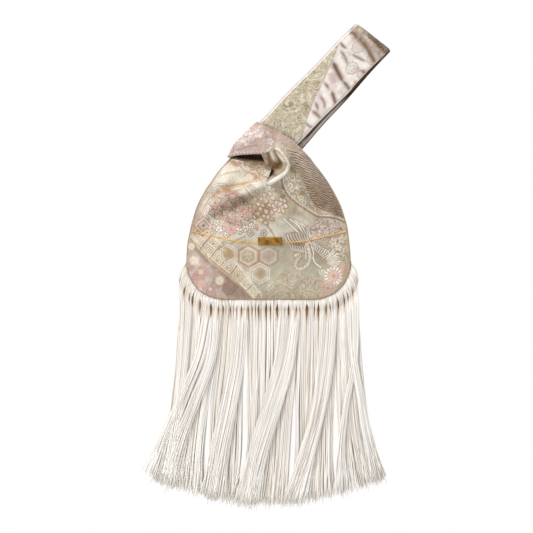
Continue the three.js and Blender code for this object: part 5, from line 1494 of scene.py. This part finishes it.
# Gold cord: two plies of metal thread laid round each other, couched across
# the front and under the bar.
def metal(name, tone, deep, rough, grain=(1.0, 1.0, 1.0), scale=500.0):
    """Brass: a metal tone worn darker in patches, with fine scratches along it."""
    material, tree, shader = fresh_material(name)
    brush = noise(tree, object_place(tree, Scale=grain), scale, 4.0)
    patch = noise(tree, object_place(tree), 120.0, 3.0)
    fill(tree, shader, {
        "Base Color": mixed(tree, ranged(tree, patch, 0.35, 0.65), linear(deep), linear(tone)),
        "Roughness": ranged(tree, brush, 0.3, 0.7, rough - 0.07, rough + 0.1),
        "Normal": bumped(tree, brush, 0.25, 0.0001),
        "Metallic": 1.0,
    })
    return material


gold_thread = metal("gold_thread", (228, 188, 116), (198, 154, 80), 0.46)
cord_line = smooth_line([(191.2, 231.0), (208, 235.4), (225.9, 239.3), (240, 241.9), (252, 243.3), (270, 243.4),
                         (283.3, 242.7), (306.3, 241), (323.5, 237), (340.7, 232.8), (346.2, 231.2)], 900)
cord_middle = in_space(cord_line, pouch_depth(cord_line) + 0.45)
lay_length, ply_offset, ply_radius = 0.0030, 0.00034, 0.00052
plies = []
for ply in range(2):
    angle = length_along(cord_middle) / lay_length * 2 * math.pi + ply * math.pi
    swing = np.stack([np.zeros(len(angle)), np.cos(angle), np.sin(angle)], axis=1) * ply_offset
    plies.append(rope(cord_middle + swing, ply_radius, 6))
points = np.vstack([ply[0] for ply in plies])
quads = np.vstack([plies[0][1], plies[1][1] + len(plies[0][0])])
cord_piece = make_piece("couched_gold_cord", points, quads, (), gold_thread)
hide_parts("gold_cord")
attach(cord_piece, "bag")

# Rigid parts, shown by their own solids: the bar of aged brass, brushed, with
# the washer that holds it behind the cloth, and the felt board in the base.
aged_brass = metal("aged_brass", (150, 112, 58), (104, 74, 36), 0.36, (0.25, 1.0, 3.0), 900.0)
felt_board = plain_cloth("felt_board", (224, 220, 208), (206, 200, 186), 0.8, 200.0, 0.4)
for node, material in (("name_bar", aged_brass), ("bar_washer", aged_brass), ("base_stiffener", felt_board)):
    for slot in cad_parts[node].material_slots:
        slot.material = material


# Fringe: bulky off-white yarn, doubled over a cord along the bottom seam and
# up both round corners, its cut ends a little uneven. It parts into five locks;
# part of each lies across the front in a loose sweep.
def yarn_material(name):
    """Soft twisted yarn: the thread attribute tints each yarn, slanting plies run
    round it, and painted shade turns it tan where its surface faces away from the view."""
    material, tree, shader = fresh_material(name)
    thread = add(tree, "Attribute", attribute_name="thread").outputs["Color"]
    fuzz = noise(tree, object_place(tree), 900.0, 2.0)
    height = calculate(tree, "MULTIPLY_ADD", fuzz, 0.8, winding(tree, 0.0045, 2))
    twisted = mixed(tree, 1.0, thread, ranged(tree, height, -0.8, 1.6, 0.93, 1.04), "MULTIPLY")
    # Painted shade: tan where the yarn's surface turns away from the view.
    turned = ranged(tree, add(tree, "LayerWeight", {"Blend": 0.5}).outputs["Facing"], 0.25, 0.9, 0.0, 0.75)
    fill(tree, shader, {
        "Base Color": mixed(tree, turned, twisted, linear((214, 192, 166))),
        "Roughness": ranged(tree, fuzz, start=0.5, end=0.66),
        "Normal": bumped(tree, height, 0.25, 0.0003),
        "Sheen Weight": 0.15, "Sheen Roughness": 0.5,
    })
    return material


fringe_yarn = yarn_material("fringe_yarn")
yarn_tones = ((254, 249, 244), (253, 243, 231), (208, 186, 160))
yarn_white, yarn_deep, yarn_tan = (light_of(tone) for tone in yarn_tones)
seam_height = knot[2] - 0.001 * pouch_height
hinge_low, fringe_half, fringe_length = -21.8, 126.0, 286
yarn_rim, overhang = 50.6, 11.8


def rim_at(along):
    """The rim at a run in mm from the middle of the bottom seam: flat, then on a
    circle round each corner's centre. Gives the place where a yarn leaves it,
    its outward direction, and how far out a yarn from there hangs."""
    turn = np.clip((np.abs(along) - flat_half) / corner_radius, 0, 1.62)
    side, flat = np.sign(along), np.minimum(np.abs(along), flat_half)
    lean = np.sin(np.minimum(turn, math.pi / 2))
    root = np.stack([side * (flat + yarn_rim * np.sin(turn)), corner_radius - yarn_rim * np.cos(turn)], axis=-1)
    out = np.stack([side * np.sin(turn), -np.cos(turn)], axis=-1)
    return root, out, side * (flat + yarn_rim * lean + overhang * lean**2)


def run_of(hang):
    """The run along the rim of a yarn that hangs at this x: the formula above
    solved for its sine."""
    beyond = np.maximum(np.abs(hang) - flat_half, 0)
    lean = np.minimum((np.sqrt(yarn_rim**2 + 4 * overhang * beyond) - yarn_rim) / (2 * overhang), 1)
    return np.sign(hang) * (np.minimum(np.abs(hang), flat_half) + corner_radius * np.arcsin(lean))


def along_levels(levels, t):
    """Smooth value at t, from 0 to 1, of rows of values kept at even levels: the
    Catmull-Rom cubic of the four nearest levels."""
    before, after = 2 * levels[:, :1] - levels[:, 1:2], 2 * levels[:, -1:] - levels[:, -2:-1]
    padded = np.concatenate([before, levels, after], axis=1)
    place = np.clip(t, 0, 1 - 1e-9) * (levels.shape[1] - 1)
    leg = place.astype(int)
    u = place - leg
    a, b, c, d = (np.take_along_axis(padded, leg + k, axis=1) for k in range(4))
    return 0.5 * (2 * b + (c - a) * u + (2 * a - 5 * b + 4 * c - d) * u**2 + (3 * b - a - 3 * c + d) * u**3)


def hang_yarns(levels, depth, rng, side, thick, tuft=0.75, stray=1.9, along=None):
    """Middle lines of many yarns, in mm from the seam. Each leaves the rim
    outwards, swells over the heading and bends down along a cubic of four
    points, with its neighbours drawn into tufts; below the hinge line it
    follows its own levels down to its tip. The last value is how much painted
    shade, tan, each point takes: the outer yarns of a tuft, under the heading,
    where the gaps between tufts are in shade."""
    count = len(levels)
    pitch = 5.1
    phase = 0.5 if side > 0 else 0.0
    along = run_of(levels[:, 0]) if along is None else along
    step = np.floor(along / pitch + phase)
    bunch = (step + 0.5 - phase) * pitch + 1.7 * np.sin(step * 2.4)
    tuft = tuft * np.clip(0.62 + 0.40 * np.sin(step * 4.1) + 0.25 * np.sin(step * 9.7), 0.1, 0.92)[:, None]
    u = np.linspace(0, 1, 7)[None, :]
    pulled = along[:, None] + (bunch - along)[:, None] * tuft * ease(u, 0.3, 1.0)
    root, out, hang = rim_at(pulled)
    sideways = np.abs(out[..., 0])
    leave = out + np.stack([np.zeros_like(sideways), -0.8 * sideways], axis=-1)
    leave /= np.linalg.norm(leave, axis=-1, keepdims=True)
    end_z = root[..., 1] - 15.5 - 8 * sideways
    second = root + 5.2 * leave
    third = np.stack([hang - 0.18 * (hang - root[..., 0]), root[..., 1] - 9 - 1.5 * sideways], axis=-1)
    fourth = np.stack([hang, end_z], axis=-1)
    v = u[..., None]
    top = (1 - v) ** 3 * root + 3 * (1 - v) ** 2 * v * second + 3 * (1 - v) * v**2 * third + v**3 * fourth
    swell = 2.6 + 5.4 * np.sin(math.pi * np.minimum(u * 0.78 + 0.1, 1))
    swell = swell + (u < 0.9) * 0.5 * rng.normal(0, 1, (count, 1))
    top_y = -side * swell * (0.72 + 0.28 * rng.random((count, 1)))
    last_z, last_y = top[:, -1:, 1], top_y[:, -1:]
    tip_x = levels[:, -1]
    tip = -fringe_length + 37 * (tip_x / 160) ** 2 + rng.normal(0, 3.4, count)
    tip = tip - 1.5 * rng.exponential(1.0, count) + 3
    steps = np.linspace(0, 1, 25)[1:]
    z = last_z + (tip[:, None] - last_z) * steps[None, :] ** 1.08
    t = (hinge_low - z) / (hinge_low - tip[:, None])
    above = ease(z, hinge_low, np.maximum(last_z, hinge_low + 4.0))
    x = along_levels(levels, t) * (1 - above) + rim_at(along)[2][:, None] * above
    pull = tuft * np.exp(-(((last_z - z) / 9) ** 2)) * ease(np.abs(x), 116, 100)
    x = x + (rim_at(bunch)[2][:, None] - x) * pull
    wobble = rng.normal(0, 1, (count, 3))
    x = x + 0.45 * wobble[:, :1] * np.sin(t * 9 + 6 * wobble[:, 1:2]) * ease(t, 0.1, 0.5)
    x = x + rng.normal(0, stray, (count, 1)) * ease(t, 0.76, 1.02)
    gather = 1 - 0.25 * np.exp(-(((t - 0.35) / 0.3) ** 2))
    y = depth(t) * gather + 0.5 * wobble[:, 2:] * ease(t, 0.2, 0.6)
    settle = ease(z, last_z - 24, last_z)
    y = y * (1 - settle) + last_y * settle
    upper = np.stack([top[..., 0], top_y, top[..., 1]], axis=-1)
    lines = np.concatenate([upper, np.stack([x, y, z], axis=-1)], axis=1)
    radius = np.full(lines.shape[:2], thick) * (1 + 0.12 * rng.normal(0, 1, (count, 1)))
    radius[:, -1] *= 0.45
    drop = root[:, :1, 1] - lines[..., 2]
    # Painted shade: tan on a tuft's outer yarns under the heading.
    outermost = np.minimum(np.abs(bunch - along) / (0.5 * pitch), 1)[:, None] ** 2
    tan = outermost * ease(drop, 11, 16) * ease(drop, 40, 22)
    return lines, np.clip(radius, 0.3, 1.2), 0.9 * tan


def stands_at(middle, stand):
    """Depth of hanging yarns: one middle for all at the heading, and below it
    each stands off by its own share."""
    return lambda t: middle + stand * ease(t, 0.02, 0.2)


def sweeps_at(lift):
    """Depth of the yarns of a sweep: in front of the lock, and most so halfway."""
    return lambda t: -8.2 - 1.4 * ease(t, 0.0, 0.3) * ease(t, 1.0, 0.6) + lift


def yarn_mesh(name, bundles, rng, sides=4):
    """Skins yarn lines with narrow tubes, each with a closed tip, as one mesh."""
    lines, radius, tan = (np.concatenate(parts) for parts in zip(*bundles))
    count, knots = radius.shape
    way = np.gradient(lines, axis=1)
    way /= np.maximum(np.linalg.norm(way, axis=2, keepdims=True), 1e-9)
    across = np.cross(way, np.array([0.0, 0.94, 0.34]))
    across /= np.maximum(np.linalg.norm(across, axis=2, keepdims=True), 1e-9)
    other = np.cross(across, way)
    angle = np.linspace(0, 2 * math.pi, sides, endpoint=False) + math.pi / 4
    ring = across[:, :, None] * np.cos(angle)[:, None] + other[:, :, None] * np.sin(angle)[:, None]
    points = lines[:, :, None] + ring * radius[:, :, None, None]
    points = points.reshape(-1, 3) * 0.001 + np.array([knot[0], 0, seam_height])
    root = (np.arange(count) * knots * sides)[:, None]
    skin = (root[:, None] + grid_faces(knots, sides, closed=True)).reshape(-1, 4)
    tips, roots = root + (knots - 1) * sides + np.arange(sides), root + np.arange(sides)[::-1]
    quads = np.concatenate([skin, tips, roots])
    tint = 1 + rng.normal(0, 0.03, (count, 1))
    below_heading = 14
    # Painted shade: yarns deep in the pile, near the middle plane, take the darker, warmer deep tone.
    inside = np.exp(-((lines[:, below_heading, 1] / 3.0) ** 2))[:, None]
    colour = (yarn_white * (1 - inside) + yarn_deep * inside) * tint
    tan = np.maximum(tan, 0.35 * (rng.random((count, 1)) < 0.12))[..., None]
    colour = np.clip(colour, 0, 0.97)[:, None] * (1 - tan) + yarn_tan * tan
    colour = np.repeat(colour.reshape(-1, 3), sides, axis=0)
    legs = np.linalg.norm(np.diff(lines, axis=1), axis=2)
    walked = np.cumsum(np.concatenate([np.zeros((count, 1)), legs], axis=1), axis=1)
    run = walked * 0.001 + rng.random((count, 1))
    lay = np.stack([np.tile(np.arange(sides) / sides, count * knots), np.repeat(run.ravel(), sides)], axis=1)
    return make_piece(name, points, quads, (), fringe_yarn, None, lay, colour)


lock_edges = np.array([
    [-1, -1.03, -1.07, -1.14, -1.27], [-0.54, -0.57, -0.65, -0.68, -0.71],
    [-0.23, -0.25, -0.262, -0.275, -0.34],
    [0.317, 0.312, 0.283, 0.262, 0.215], [0.746, 0.743, 0.742, 0.743, 0.744],
    [1, 1.03, 1.07, 1.14, 1.27]]) * fringe_half
sweeps = {
    1: [([-0.66, -0.75, -0.93, -1.10, -1.24], 0.085), ([-0.58, -0.63, -0.80, -0.98, -1.12], 0.075),
        ([-0.90, -0.93, -0.98, -1.05, -1.10], 0.07)],
    2: [([-0.28, -0.31, -0.40, -0.50, -0.58], 0.075), ([-0.34, -0.39, -0.49, -0.59, -0.67], 0.06)],
    3: [([0.26, 0.18, 0.02, -0.16, -0.30], 0.085), ([0.17, 0.11, -0.03, -0.17, -0.26], 0.07),
        ([0.31, 0.25, 0.10, -0.06, -0.18], 0.05)],
    4: [([0.69, 0.66, 0.58, 0.44, 0.28], 0.085), ([0.62, 0.58, 0.51, 0.38, 0.24], 0.06)],
    5: [([0.96, 0.95, 0.86, 0.80, 0.80], 0.05), ([0.92, 0.94, 1.02, 1.10, 1.22], 0.06)],
}
opened = np.array([
    [0, 0, 0, 0, 0], [0, 0, 1.6, 3.2, 2.2], [0, 1.8, 3.2, 3.0, 1.0],
    [0, 0, 1.8, 3.4, 2.2], [0, 0, 2.2, 4.0, 3.0], [0, 0, 0, 0, 0]])
yarns_per_mm = 2.3
for n in range(1, 6):
    rng = np.random.default_rng(100 + n)
    left, right = lock_edges[n - 1], lock_edges[n]
    bundles = []
    edge_l, edge_r = left + opened[n - 1], right - opened[n]
    for side, middle_y, share in ((1, -4.4, 1.0), (1, -1.9, 0.9), (-1, 1.6, 0.8), (-1, 4.4, 0.9)):
        count = int((right[0] - left[0]) * yarns_per_mm * 0.5 * share)
        place = (np.arange(count) + rng.random(count)) / count
        clumps = max(3, int((right[0] - left[0]) / 6.0))
        bounds = np.sort((np.arange(1, clumps) + rng.uniform(-0.3, 0.3, clumps - 1)) / clumps)
        clump = np.searchsorted(bounds, place)
        edges_at = np.concatenate([[0], bounds, [1]])
        heart = 0.5 * (edges_at[clump] + edges_at[clump + 1])
        draw = np.array([0.1, 0.15, 0.18, 0.18, -0.1])[None, :] * (1.0 if side > 0 else 0.5)
        sway = rng.normal(0, 0.012, (clumps, 5)) * np.array([0, 0.6, 1, 1, 1])
        at_level = np.clip(place[:, None] + (heart - place)[:, None] * draw + sway[clump], 0, 1)
        levels = edge_l[None, :] * (1 - at_level) + edge_r[None, :] * at_level
        stand = rng.normal(0, 0.8, clumps)[clump][:, None] + rng.normal(0, 0.5, (count, 1))
        bundles.append(hang_yarns(levels, stands_at(middle_y, stand), rng, side, 0.75))
    if n in (1, 5):
        for side, middle_y in ((1, -4.0), (-1, 3.4)):
            outer = (left if n == 1 else right)[None, :]
            count = int(50 * yarns_per_mm * 0.75)
            round_corner = 0.65 + 0.97 * (np.arange(count) + rng.random(count)) / count
            along = np.sign(outer[0, 0]) * (flat_half + corner_radius * round_corner)
            levels = outer * (np.abs(rim_at(along)[2])[:, None] / 125.4)
            stand = rng.normal(0, 1.2, (count, 1))
            bundles.append(hang_yarns(levels, stands_at(middle_y, stand), rng, side, 0.70, along=along))
    for course, half in sweeps[n]:
        course = np.array(course) * fringe_half
        count = int(half * 2 * fringe_half * yarns_per_mm * 1.35)
        turn, away = rng.random(count) * 2 * math.pi, np.sqrt(rng.random(count))
        spread = np.array([0.8, 0.68, 0.66, 0.88, 1.35])
        levels = course[None, :] + (np.cos(turn) * away)[:, None] * half * fringe_half * spread[None, :]
        lift = (np.sin(turn) * away * 2.2)[:, None]
        bundles.append(hang_yarns(levels, sweeps_at(lift), rng, 1, 0.70, 0.6, 3.2))
    lock = yarn_mesh(f"lock_{n}_yarns", bundles, rng)
    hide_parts(f"fringe_lock_{n}", f"fringe_sweep_{n}")
    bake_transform(lock)

# Heading cord of the fringe: it lies inside the yarns along the bottom seam and
# up both corners, and fills them out where they leave the rim.
heading_run = np.linspace(-136, 136, 150)
root, out, _ = rim_at(heading_run)
at = root + out * 4.4
path = np.stack([knot[0] + at[:, 0] * 0.001, np.zeros(len(at)), seam_height + at[:, 1] * 0.001], axis=1)
ring_sides = 14
shaded_white = np.tile(yarn_white * 0.8, (len(path) * ring_sides, 1))
header = rope_piece("fringe_header_cord", path, 0.0030, ring_sides, fringe_yarn, None, 1.6, shaded_white)
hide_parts("fringe_header", "fringe_skirt_left", "fringe_skirt_right")
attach(header, "bag")

# Heading tape: a flat woven strip that hangs from the header cord between the
# front and back yarns. Its brown is painted shade, standing for the shadow seen through the gaps of the tufts.
tape_x = np.linspace(-84, 84, 85)
top, low = rim_at(tape_x)[0][:, 1] - 6, -24.5 + 1.2 * np.sin(tape_x * 0.5)
corners = ((-3.2, top), (-2.6, low), (2.6, low), (3.2, top))
loops = np.stack([np.stack([tape_x, np.full(len(tape_x), y), z], axis=1) for y, z in corners], axis=1)
points = loops.reshape(-1, 3) * 0.001 + np.array([knot[0], 0, seam_height])
quads = grid_faces(len(tape_x), 4, closed=True)[:, [0, 3, 2, 1]]
last = len(points) - 1
quads = np.vstack([quads, [[0, 1, 2, 3]], [[last, last - 1, last - 2, last - 3]]])
tape_cloth = plain_cloth("heading_tape_in_painted_shade", (168, 140, 108), (128, 102, 76), 0.8, 300.0, 0.0)
tape = make_piece("heading_tape_in_painted_shade", points, quads, (), tape_cloth)
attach(tape, "bag")

size = {"cad": [[float(v) for v in corner] for corner in cad_box], "visual": [[float(v) for v in corner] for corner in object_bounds()]}
